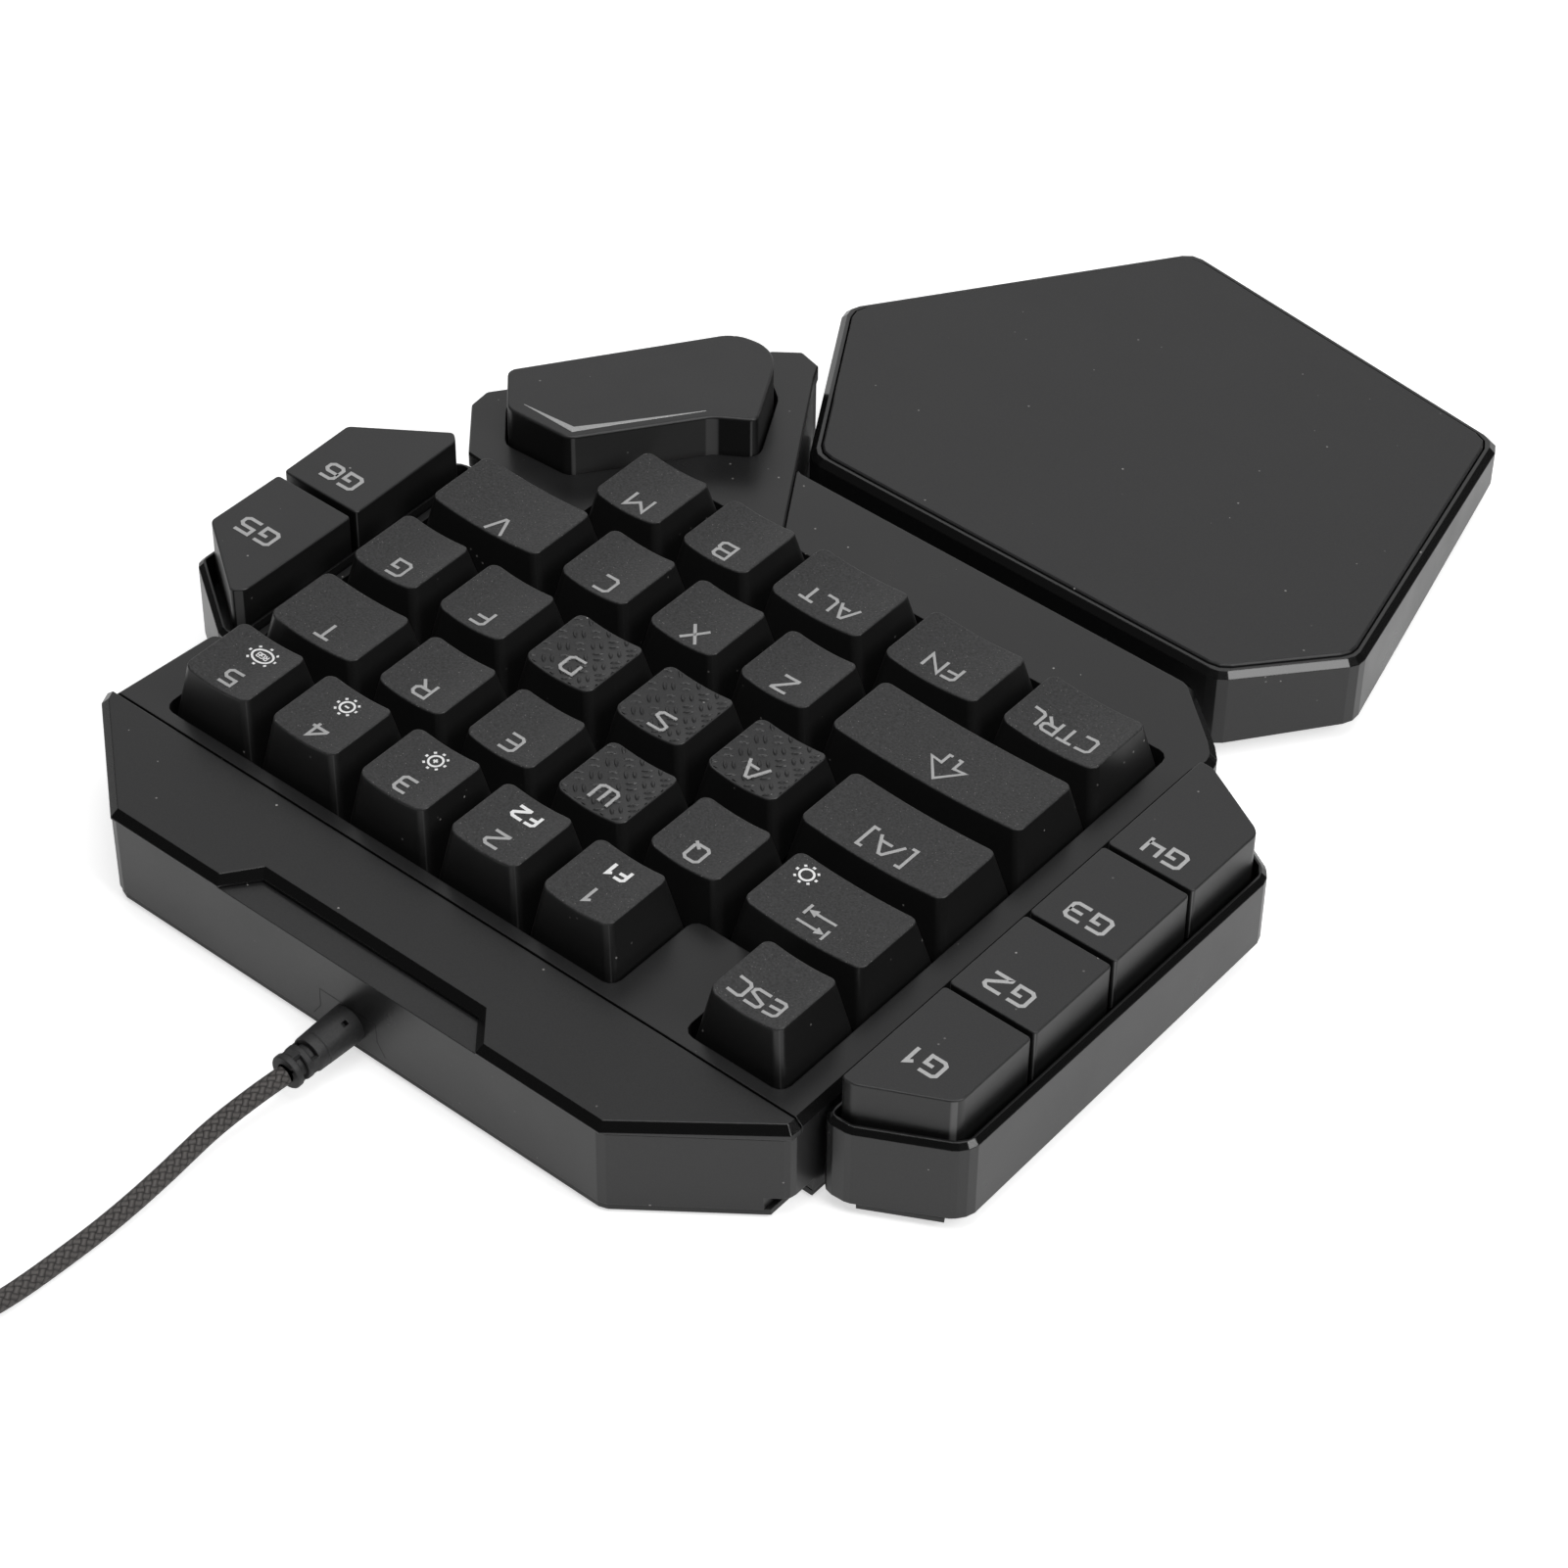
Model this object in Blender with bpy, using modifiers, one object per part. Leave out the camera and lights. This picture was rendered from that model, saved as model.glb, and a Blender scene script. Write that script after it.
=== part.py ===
"""A one-handed gaming keypad: a key field, two macro trays, a thumb key, a palm rest and a braided cord.

X runs to the user's right, Y away from the user and Z up. Plan outlines are written in key pitches,
from the left rear corner of the key field: X from its left edge, Y from the middle of the number row.
"""

import math

import bmesh
import bpy
from mathutils import Matrix, Vector

# Tolerances of the modelling
WELD = 0.000005
FLAT_ANGLE = math.radians(0.5)
FINE_STEPS = 24
ROUND_PROFILE = 0.5

# Key field
PITCH = 0.01905
CAP_GAP = 0.00095
FIELD_WIDTH_SHARE = 6.75
KEY_ROWS_SHARES = (
    (("key_esc", 0.5, 1.0), ("key_1", 2.25, 1.0), ("key_2", 3.25, 1.0), ("key_3", 4.25, 1.0),
     ("key_4", 5.25, 1.0), ("key_5", 6.25, 1.0)),
    (("key_tab", 0.75, 1.5), ("key_q", 2.0, 1.0), ("key_w", 3.0, 1.0), ("key_e", 4.0, 1.0),
     ("key_r", 5.0, 1.0), ("key_t", 6.125, 1.25)),
    (("key_caps", 0.875, 1.75), ("key_a", 2.25, 1.0), ("key_s", 3.25, 1.0), ("key_d", 4.25, 1.0),
     ("key_f", 5.25, 1.0), ("key_g", 6.25, 1.0)),
    (("key_shift", 1.125, 2.25), ("key_z", 2.75, 1.0), ("key_x", 3.75, 1.0), ("key_c", 4.75, 1.0),
     ("key_v", 6.0, 1.5)),
    (("key_ctrl", 0.625, 1.25), ("key_fn", 1.875, 1.25), ("key_alt", 3.125, 1.25),
     ("key_b", 4.25, 1.0), ("key_m", 5.25, 1.0)),
)

# Keycaps: heights are above the table
CAP_BOTTOM = 0.0161
ROW_TOPS = (0.02915, 0.02725, 0.02735, 0.02765, 0.02715)
CAP_SIDE_TAPER = 0.00245
CAP_REAR_TAPER = 0.0026
CAP_FRONT_TAPER = 0.0021
CAP_CORNER = 0.0016
CAP_CORNER_STEPS = 2
CAP_WALL = 0.0012
CAP_ROOF = 0.0014
DISH_DEPTH = 0.00045
DISH_FACETS = 5

# Plungers and their guides
PLUNGER_RADIUS = 0.0025
PLUNGER_SIDES = 10
GUIDE_CLEARANCE = 0.0003
GUIDE_RADIUS = 0.0038
GUIDE_SIDES = 12
GUIDE_TOP = 0.0178
DOME_CLEARANCE = 0.0003

# Flat-topped caps of the macro and thumb keys
MACRO_TOP = 0.0264
MACRO_CORNER = 0.0007
MACRO_EDGE = 0.0003
THUMB_TOP = 0.0283
THUMB_CORNER = 0.0026
THUMB_EDGE = 0.0005
LEFT_AXIS_SHARE = -0.866
LEFT_STEP_SHARE = 1.0265
LEFT_MIDDLE_SHARE = -2.0
LEFT_KEY_COUNT = 4
RIGHT_AXIS_SHARE = 7.422
RIGHT_STEP_SHARE = 0.99
RIGHT_MIDDLE_SHARE = -2.05
LEFT_END_CAP_SHARES = ((-0.431, -0.49), (0.431, -0.49), (0.431, 0.785), (0.304, 0.785),
                       (-0.378, 0.434), (-0.431, 0.371))
LEFT_MID_CAP_SHARES = ((-0.431, -0.49), (0.431, -0.49), (0.431, 0.49), (-0.431, 0.49))
RIGHT_CAP_SHARES = ((-0.431, -0.46), (0.448, -0.46), (0.462, 0.355), (-0.315, 0.905),
                    (-0.415, 0.82))
THUMB_CENTRE_SHARES = (6.2, -4.97)
THUMB_CAP_SHARES = ((1.065, 0.64), (-0.135, -1.092), (-0.488, -1.152), (-0.709, -0.985),
                    (-1.103, -0.263), (-0.767, -0.043), (0.005, 1.017), (0.698, 1.054))

# Housing
BASE_BOTTOM = 0.0007
BASE_TOP = 0.0019
TRAY_BASE_INSET = 0.0026
TRAY_BASE_RIM = 0.0008
TRAY_BASE_TOP = 0.0050
TRAY_BOTTOM = 0.0029
TRAY_RISE_SHARE = 0.026
LIP_BOTTOM = 0.0017
SEAM = 0.0002
SHELL_LEDGE = 0.0175
DECK_TOP = 0.0200
THUMB_PLATE_TOP = 0.0205
TRAY_TOP = 0.0189
FLOOR_BOTTOM = 0.0100
FLOOR_TOP = 0.0122
WALL = 0.0020
TUB_WALL = 0.0012
DECK_SKIN = 0.0018
BAND_WIDTH = 0.0013
TRAY_BAND = 0.0009
PLATE_EDGE = 0.0003
WELL_MARGIN = 0.0007
WELL_CORNER = 0.0021
THUMB_WELL_MARGIN = 0.0005
TRAY_WALL = 0.0013
HOUSING_CORNER = 0.0024
SHARP_CORNER = 0.0007
ARC_STEPS = 3
REAR_FALL = 0.0007
JOINT_GAP = 0.0003
CUT_OVERRUN = 0.0020

# The housing from above, anticlockwise from the rear right
HOUSING_SHARES = (
    (6.22, 1.654), (0.86, 1.654), (-0.31, 0.75), (-0.31, -4.5), (-0.36, -4.62), (-0.325, -4.765),
    (-0.20, -4.90), (0.39, -5.385), (4.78, -5.385), (5.42, -6.41), (5.51, -6.58), (5.75, -6.64),
    (5.96, -6.47), (7.54, -4.34), (7.52, -4.13), (7.07, -3.60), (6.90, -3.59), (6.90, -0.50),
    (7.15, -0.47), (7.25, 0.76),
)
CORNER_CUT_SHARES = (-0.14, 0.47)
CORNER_CUT_TOP = 0.0047
BASE_CUT_SHARES = (-0.178, 0.47)
CREASE_SHARE = 0.64
REAR_PANEL_SHARES = (
    (7.30, 0.64), (7.25, 0.76), (6.22, 1.654), (4.99, 1.654), (4.76, 1.36), (2.39, 1.36),
    (2.15, 1.654), (0.86, 1.654), (-0.31, 0.75), (-0.32, 0.64),
)
THUMB_PLATE_SHARES = (
    (6.95, -3.58), (5.0, -3.4), (4.22, -4.54), (4.39, -4.80), (5.42, -6.42), (5.51, -6.59),
    (5.75, -6.65), (5.97, -6.48), (7.55, -4.34), (7.53, -4.12), (7.08, -3.59),
)
LEFT_TRAY_SHARES = (
    (-0.331, 0.45), (-0.609, 0.435), (-1.35, 0.036), (-1.444, -0.085), (-1.444, -3.915),
    (-1.35, -4.036), (-0.609, -4.435), (-0.331, -4.45),
)
RIGHT_TRAY_SHARES = (
    (6.92, -0.53), (7.13, -0.50), (7.96, -1.06), (7.96, -2.98), (7.09, -3.57), (6.92, -3.575),
)
LEFT_LIP_SHARES = ((-0.661, 0.407), (-1.3055, 0.060), (-1.213, -0.111), (-0.569, 0.236))

# Cable inlet in the rear wall
CORD_DIAMETER = 0.0032
INLET_SHARE = 3.572
INLET_HEIGHT = 0.0058
BOOT_RADIUS = 0.0030
BOOT_NECK_RADIUS = 0.0026
BOOT_FLANGE_RADIUS = 0.00265
BOOT_LENGTH = 0.0137
BOOT_BARREL = 0.0078
BOOT_RINGS = 3
BOOT_RING_LENGTH = 0.0012
BOOT_RING_GAP = 0.0006
BOOT_SIDES = 16
BOOT_INSIDE = 0.0045

# Palm rest
PALM_WIDTH = 0.1256
PALM_DEPTH = 0.0994
PALM_LEFT = -0.0091
PALM_REAR = -0.1069
PALM_OUTLINE_SHARES = (
    (0.803, 0.0), (0.118, 0.0), (0.0, -0.201), (0.142, -0.895), (0.728, -1.0), (1.0, -0.399),
)
PALM_TOP = 0.0190
PALM_FALL_SHARE = 0.0855
PALM_BOTTOM = 0.0038
PALM_CORNER = 0.0042
PALM_BAND = 0.0011
PALM_RIM = 0.0017
PALM_PAD_GAP = 0.0003
PALM_PAD_RISE = 0.0004
PALM_PAD_DEPTH = 0.0022
PALM_PAD_EDGE = 0.0003
PALM_SKIN = 0.0045
PALM_WALL = 0.0022
PALM_BASE_INSET = 0.0030
PALM_BASE_BOTTOM = 0.0020
PALM_BASE_TOP = 0.0035
BRIDGE_SHARES = (
    (0.98, -5.592), (4.835, -5.592), (5.335, -6.392), (5.375, -6.372), (4.763, -5.402),
    (0.98, -5.402),
)
BRIDGE_BOTTOM = 0.0024
BRIDGE_TOP = 0.0085

# Switch stack inside
PLATE_BOTTOM = 0.0022
PLATE_THICK = 0.0010
MEMBRANE_THICK = 0.0004
MAT_THICK = 0.0010
STACK_GAP = 0.0002
DOME_TOP = 0.0095
DOME_RADIUS = 0.0040
DOME_TOP_RADIUS = 0.0023
DOME_SIDES = 8
STACK_SHARES = (
    (-0.53, 0.235), (-0.56, 0.235), (-1.22, -0.12), (-1.25, -0.16), (-1.25, -3.84), (-1.22, -3.88),
    (-0.56, -4.235), (-0.53, -4.235), (-0.53, -2.80), (-0.15, -2.80), (-0.15, -4.60),
    (-0.08, -4.80), (0.45, -5.20), (4.84, -5.20), (5.60, -6.30), (5.68, -6.36), (5.80, -6.34),
    (7.34, -4.28), (7.32, -4.22), (6.96, -3.78), (6.74, -3.70), (6.74, -2.80), (7.13, -2.80),
    (7.13, -3.30), (7.755, -2.875), (7.755, -1.17), (7.13, -0.745), (7.13, -1.15), (6.74, -1.15),
    (6.74, 0.42), (-0.15, 0.42), (-0.15, -1.15), (-0.53, -1.15),
)
BOARD_WIDTH = 0.0440
BOARD_DEPTH = 0.0150
BOARD_BOTTOM = 0.0024
BOARD_THICK = 0.0016
BOARD_CHIP = 0.0090
BOARD_CHIP_HEIGHT = 0.0014
BOARD_Y_SHARE = 0.96
PASSAGE_TOP = 0.0056
PASSAGE_FRONT_SHARE = -2.9
PASSAGE_REAR_SHARE = -1.05

# Feet
FOOT_RADIUS = 0.0050
FOOT_SIDES = 20
FOOT_SHARES = (
    ("foot_rear_left", 0.60, 0.90), ("foot_rear_right", 6.3, 1.05), ("foot_thumb", 6.1, -5.6),
)
PALM_FOOT_SHARES = (("foot_palm_left", 0.22, -0.80), ("foot_palm_right", 0.66, -0.86))

# Cord: route points are X, Y and height in metres, from the key field's corner
CORD_ROUTE = (
    (0.0681, 0.0455, 0.0055), (0.0688, 0.0520, 0.0051), (0.0695, 0.0600, 0.0041),
    (0.0693, 0.0700, 0.0030), (0.0693, 0.0790, 0.0022), (0.0697, 0.0880, 0.0017),
    (0.0705, 0.1010, 0.0018), (0.0725, 0.1130, 0.0025), (0.0743, 0.1200, 0.0028),
    (0.0750, 0.1270, 0.0028),
)
CORD_STEP = 0.0072
CORD_SIDES_RESOLUTION = 2

# Coil, tail and plug
COIL_LAYERS = 4
COIL_TURNS = 3
CLIMB_TURNS = 0.5
COIL_POINTS = 24
COIL_SPACING = 0.00366
COIL_MIDDLE_RADIUS = 0.0180
COIL_BASE = 0.0012
COIL_RESOLUTION = 1
COIL_LEAD = 0.0034
TAIL_ROUTE = (
    (0.0002, 0.0125, -0.0005), (0.0010, 0.0250, -0.0032), (0.0026, 0.0370, -0.0066),
    (0.0048, 0.0480, -0.0090), (0.0072, 0.0580, -0.0098),
)
TIE_WIDTH = 0.0090
TIE_THICK = 0.0007
TIE_CLEARANCE = 0.0004
TIE_CORNER = 0.0020
PLUG_LENGTH = 0.0330
PLUG_WIDTH = 0.0152
PLUG_HEIGHT = 0.0078
PLUG_CORNER = 0.0018
PLUG_NECK_LENGTH = 0.0090
PLUG_NECK_RADIUS = 0.0028
SHELL_LENGTH = 0.0125
SHELL_WIDTH = 0.0120
SHELL_HEIGHT = 0.0045
SHELL_SKIN = 0.0004

# Looks: base colour, roughness and metallic value
LOOKS = {
    "housing_plastic": ((0.030, 0.030, 0.031), 0.42, 0.0),
    "cap_plastic": ((0.036, 0.036, 0.037), 0.55, 0.0),
    "palm_pad": ((0.034, 0.034, 0.035), 0.62, 0.0),
    "inner_plastic": ((0.020, 0.020, 0.020), 0.50, 0.0),
    "rubber": ((0.028, 0.028, 0.028), 0.80, 0.0),
    "mat_rubber": ((0.45, 0.45, 0.44), 0.70, 0.0),
    "membrane_film": ((0.55, 0.60, 0.58), 0.30, 0.0),
    "plate_steel": ((0.50, 0.50, 0.50), 0.35, 1.0),
    "board": ((0.02, 0.12, 0.05), 0.45, 0.0),
    "braid": ((0.020, 0.020, 0.021), 0.75, 0.0),
    "plug_metal": ((0.62, 0.62, 0.60), 0.28, 1.0),
}


def clear_scene():
    for obj in list(bpy.data.objects):
        bpy.data.objects.remove(obj)


def make_materials():
    for name, (colour, roughness, metallic) in LOOKS.items():
        material = bpy.data.materials.new(name)
        material.use_nodes = True
        shader = material.node_tree.nodes["Principled BSDF"]
        shader.inputs["Base Color"].default_value = (*colour, 1)
        shader.inputs["Roughness"].default_value = roughness
        shader.inputs["Metallic"].default_value = metallic
        material.diffuse_color = (*colour, 1)


def pitches(shares):
    """Plan points given in key pitches, as lengths."""
    return [(x * PITCH, y * PITCH) for x, y in shares]


def scaled(shares, width, depth, left=0.0, rear=0.0):
    return [(left + x * width, rear + y * depth) for x, y in shares]


def anticlockwise(points):
    area = sum(a[0] * b[1] - b[0] * a[1] for a, b in zip(points, points[1:] + points[:1]))
    return points if area > 0 else points[::-1]


def grown(points, distance):
    """The outline moved outwards by a distance, or inwards by a negative one."""
    points = [Vector(p) for p in anticlockwise(list(points))]
    moved = []
    for i, here in enumerate(points):
        into = (here - points[i - 1]).normalized()
        out = (points[(i + 1) % len(points)] - here).normalized()
        normal_in = Vector((into.y, -into.x))
        normal_out = Vector((out.y, -out.x))
        mitre = normal_in + normal_out
        moved.append(here + mitre * (2 * distance / mitre.length_squared))
    return [tuple(p) for p in moved]


def rounded(points, radius):
    """The outline with an arc at each corner, no longer than its two edges allow."""
    points = [Vector(p) for p in anticlockwise(list(points))]
    arcs = []
    for i, corner in enumerate(points):
        before = points[i - 1] - corner
        after = points[(i + 1) % len(points)] - corner
        half = before.angle(after) / 2
        reach = min(radius / math.tan(half), before.length / 2, after.length / 2)
        start = corner + before.normalized() * reach
        end = corner + after.normalized() * reach
        if reach < SEAM:
            arcs.append(tuple(corner))
            continue
        bisector = (before.normalized() + after.normalized()).normalized()
        centre = corner + bisector * (reach / math.cos(half))
        steps = max(1, round(ARC_STEPS * (math.pi - 2 * half) / (math.pi / 2)))
        first = start - centre
        turn = first.angle_signed(end - centre)
        for step in range(steps + 1):
            spoke = first.copy()
            spoke.rotate(rotation_in_plan(-turn * step / steps))
            arcs.append(tuple(centre + spoke))
    return arcs


def rotation_in_plan(angle):
    return Matrix.Rotation(angle, 2)


def mesh_of_curve(curve):
    """The evaluated mesh of a curve, with its caps welded to its sides."""
    holder = held("curve_holder", curve)
    mesh = evaluated_mesh(holder)
    bpy.data.objects.remove(holder)
    bpy.data.curves.remove(curve)
    shape = bmesh.new()
    shape.from_mesh(mesh)
    bmesh.ops.remove_doubles(shape, verts=shape.verts, dist=WELD)
    bmesh.ops.recalc_face_normals(shape, faces=shape.faces)
    shape.to_mesh(mesh)
    shape.free()
    return mesh


def prism(outline, bottom, top):
    """A flat outline as a filled curve of some thickness, as a mesh."""
    curve = bpy.data.curves.new("outline", "CURVE")
    curve.dimensions = "2D"
    curve.fill_mode = "BOTH"
    curve.extrude = (top - bottom) / 2
    spline = curve.splines.new("POLY")
    spline.points.add(len(outline) - 1)
    for point, (x, y) in zip(spline.points, outline):
        point.co = (x, y, 0, 1)
    spline.use_cyclic_u = True
    mesh = mesh_of_curve(curve)
    shape = bmesh.new()
    shape.from_mesh(mesh)
    bmesh.ops.translate(shape, verts=shape.verts, vec=(0, 0, (top + bottom) / 2))
    bmesh.ops.dissolve_limit(shape, angle_limit=FLAT_ANGLE, verts=shape.verts, edges=shape.edges)
    shape.to_mesh(mesh)
    shape.free()
    return mesh


def chamfer_top(mesh, width, wanted=lambda middle: True):
    """Bevels the upper rim of a prism, on the edges that the test asks for."""
    shape = bmesh.new()
    shape.from_mesh(mesh)
    top = max(v.co.z for v in shape.verts)
    rim = [
        e for e in shape.edges
        if all(v.co.z > top - WELD for v in e.verts)
        and wanted((e.verts[0].co + e.verts[1].co) / 2)
    ]
    bmesh.ops.bevel(shape, geom=rim, offset=width, segments=1, affect="EDGES")
    shape.to_mesh(mesh)
    shape.free()
    return mesh


def cylinders(places, radius, bottom, top, sides, top_radius=None):
    """Upright cylinders or cones at plan points, as one mesh."""
    shape = bmesh.new()
    for x, y in places:
        made = bmesh.ops.create_cone(
            shape, cap_ends=True, segments=sides, radius1=radius,
            radius2=radius if top_radius is None else top_radius, depth=top - bottom)
        bmesh.ops.translate(shape, verts=made["verts"], vec=(x, y, (top + bottom) / 2))
    mesh = bpy.data.meshes.new("cylinders")
    shape.to_mesh(mesh)
    shape.free()
    return mesh


def block(low, high):
    """A box between two corners, as a mesh."""
    low, high = Vector(low), Vector(high)
    shape = bmesh.new()
    bmesh.ops.create_cube(shape, size=1)
    bmesh.ops.scale(shape, vec=high - low, verts=shape.verts)
    bmesh.ops.translate(shape, vec=(low + high) / 2, verts=shape.verts)
    mesh = bpy.data.meshes.new("block")
    shape.to_mesh(mesh)
    shape.free()
    return mesh


class Workshop:
    """Holds the keypad's collection and the empty that carries every part."""

    def __init__(self, origin):
        self.parts = bpy.data.collections.new("gaming_keypad")
        bpy.context.scene.collection.children.link(self.parts)
        self.frame = bpy.data.objects.new("keypad_frame", None)
        self.frame.location = (-origin[0], -origin[1], 0)
        self.parts.objects.link(self.frame)

    def part(self, name, mesh, material, place=(0, 0, 0)):
        obj = bpy.data.objects.new(name, mesh)
        if not mesh.materials:
            mesh.materials.append(bpy.data.materials[material])
        obj.parent = self.frame
        obj.location = place
        self.parts.objects.link(obj)
        return obj


def evaluated_mesh(obj):
    """The mesh of an object with its modifiers or its curve applied."""
    bpy.context.view_layer.update()
    graph = bpy.context.evaluated_depsgraph_get()
    return bpy.data.meshes.new_from_object(obj.evaluated_get(graph))


def held(name, data):
    """A passing object in the scene, to be evaluated and then removed."""
    obj = bpy.data.objects.new(name, data)
    bpy.context.scene.collection.objects.link(obj)
    return obj


def merged(base, steps):
    """A mesh joined to and cut by others in turn: each step is an operation and a mesh."""
    holder = held("base", base)
    tools = [held("tool", mesh) for _, mesh in steps]
    for tool, (operation, _) in zip(tools, steps):
        modifier = holder.modifiers.new(operation.lower(), "BOOLEAN")
        modifier.operation = operation
        modifier.solver = "EXACT"
        modifier.object = tool
    result = evaluated_mesh(holder)
    for obj in [holder, *tools]:
        bpy.data.objects.remove(obj)
    return result


def key_places():
    """Name, plan centre, width and row of every key of the field."""
    return [
        (name, centre * PITCH, -row * PITCH, width * PITCH, row)
        for row, keys in enumerate(KEY_ROWS_SHARES)
        for name, centre, width in keys
    ]


def left_key_places():
    step = LEFT_STEP_SHARE * PITCH
    first = LEFT_MIDDLE_SHARE * PITCH + (LEFT_KEY_COUNT - 1) * step / 2
    return [
        (f"macro_g{i + 1}", LEFT_AXIS_SHARE * PITCH, first - i * step)
        for i in range(LEFT_KEY_COUNT)
    ]


def right_key_places():
    middle = RIGHT_MIDDLE_SHARE * PITCH
    half = RIGHT_STEP_SHARE * PITCH / 2
    return [
        ("macro_g5", RIGHT_AXIS_SHARE * PITCH, middle + half),
        ("macro_g6", RIGHT_AXIS_SHARE * PITCH, middle - half),
    ]


def thumb_place():
    return pitches([THUMB_CENTRE_SHARES])[0]


def tapered_box(width, depth, height, side, rear, front, corner):
    """A box that narrows upwards by its own taper on each side, with rounded upright edges."""
    shape = bmesh.new()
    bmesh.ops.create_cube(shape, size=1)
    bmesh.ops.scale(shape, vec=(width, depth, height), verts=shape.verts)
    bmesh.ops.translate(shape, vec=(0, 0, height / 2), verts=shape.verts)
    for vert in shape.verts:
        if vert.co.z > height / 2:
            vert.co.x -= math.copysign(side, vert.co.x)
            vert.co.y -= rear if vert.co.y > 0 else -front
    if corner:
        upright = [e for e in shape.edges if abs(e.verts[0].co.z - e.verts[1].co.z) > height / 2]
        bmesh.ops.bevel(shape, geom=upright, offset=corner, segments=CAP_CORNER_STEPS,
                        profile=ROUND_PROFILE, affect="EDGES")
    mesh = bpy.data.meshes.new("tapered_box")
    shape.to_mesh(mesh)
    shape.free()
    return mesh


def dish_cutter(width, depth, height, shift):
    """A cylinder lying along Y that hollows the cap's top by the dish's depth in its middle."""
    radius = width * width / (8 * DISH_DEPTH) + DISH_DEPTH / 2
    half_angle = math.asin(width / 2 / radius)
    sides = 2 * math.ceil(math.pi / (2 * half_angle / DISH_FACETS))
    shape = bmesh.new()
    bmesh.ops.create_cone(shape, cap_ends=True, segments=sides, radius1=radius, radius2=radius,
                          depth=2 * depth)
    bmesh.ops.rotate(shape, verts=shape.verts, matrix=rotation_about_x(math.pi / 2))
    bmesh.ops.translate(shape, verts=shape.verts, vec=(0, shift, height - DISH_DEPTH + radius))
    mesh = bpy.data.meshes.new("dish")
    shape.to_mesh(mesh)
    shape.free()
    return mesh


def rotation_about_x(angle):
    return Matrix.Rotation(angle, 3, "X")


def plunger_mesh(roof):
    """The post under a cap, from inside its roof down to just above its dome."""
    return cylinders([(0, 0)], PLUNGER_RADIUS, DOME_TOP + DOME_CLEARANCE - CAP_BOTTOM,
                     roof + CAP_ROOF / 2, PLUNGER_SIDES)


def keycap_mesh(width, row):
    """A hollow cap with tapered sides, a dished top and a plunger. Its origin is at its foot."""
    height = ROW_TOPS[row] - CAP_BOTTOM
    skirt = width - CAP_GAP
    depth = PITCH - CAP_GAP
    outer = tapered_box(skirt, depth, height, CAP_SIDE_TAPER, CAP_REAR_TAPER, CAP_FRONT_TAPER,
                        CAP_CORNER)
    roof = height - DISH_DEPTH - CAP_ROOF
    share = roof / height
    inner = tapered_box(skirt - 2 * CAP_WALL, depth - 2 * CAP_WALL, roof, CAP_SIDE_TAPER * share,
                        CAP_REAR_TAPER * share, CAP_FRONT_TAPER * share, 0)
    lowered(inner, CUT_OVERRUN)
    dish = dish_cutter(skirt - 2 * CAP_SIDE_TAPER, depth, height, 0)
    return merged(outer, [("DIFFERENCE", dish), ("DIFFERENCE", inner),
                          ("UNION", plunger_mesh(roof))])


def lowered(mesh, overrun):
    """Lets a cavity's lower rim run past the part that it is cut from."""
    shape = bmesh.new()
    shape.from_mesh(mesh)
    for vert in shape.verts:
        if vert.co.z <= 0:
            vert.co.z -= overrun
    shape.to_mesh(mesh)
    shape.free()


def flat_cap_mesh(outline, top, corner, edge):
    """A hollow flat-topped cap over an outline about its plunger, with a small edge bevel."""
    height = top - CAP_BOTTOM
    outer = chamfer_top(prism(rounded(outline, corner), 0, height), edge)
    roof = height - CAP_ROOF
    inner = prism(grown(outline, -CAP_WALL), -CUT_OVERRUN, roof)
    return merged(outer, [("DIFFERENCE", inner), ("UNION", plunger_mesh(roof))])


def make_field_caps(shop):
    made = {}
    for name, x, y, width, row in key_places():
        kind = (round(width / PITCH, 3), row)
        if kind not in made:
            made[kind] = keycap_mesh(width, row)
        shop.part(name, made[kind], "cap_plastic", (x, y, CAP_BOTTOM))


def mirrored(outline):
    return [(x, -y) for x, y in outline]


def macro_outlines():
    """Each macro key's outline about its plunger."""
    end = pitches(LEFT_END_CAP_SHARES)
    middle = pitches(LEFT_MID_CAP_SHARES)
    right = pitches(RIGHT_CAP_SHARES)
    return {
        "macro_g1": end, "macro_g2": middle, "macro_g3": middle, "macro_g4": mirrored(end),
        "macro_g5": right, "macro_g6": mirrored(right),
    }


def make_macro_caps(shop):
    outlines = macro_outlines()
    for name, x, y in left_key_places() + right_key_places():
        mesh = flat_cap_mesh(outlines[name], MACRO_TOP, MACRO_CORNER, MACRO_EDGE)
        shop.part(name, mesh, "cap_plastic", (x, y, CAP_BOTTOM))


def make_thumb_cap(shop):
    x, y = thumb_place()
    mesh = flat_cap_mesh(pitches(THUMB_CAP_SHARES), THUMB_TOP, THUMB_CORNER, THUMB_EDGE)
    shop.part("thumb_key", mesh, "cap_plastic", (x, y, CAP_BOTTOM))


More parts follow.
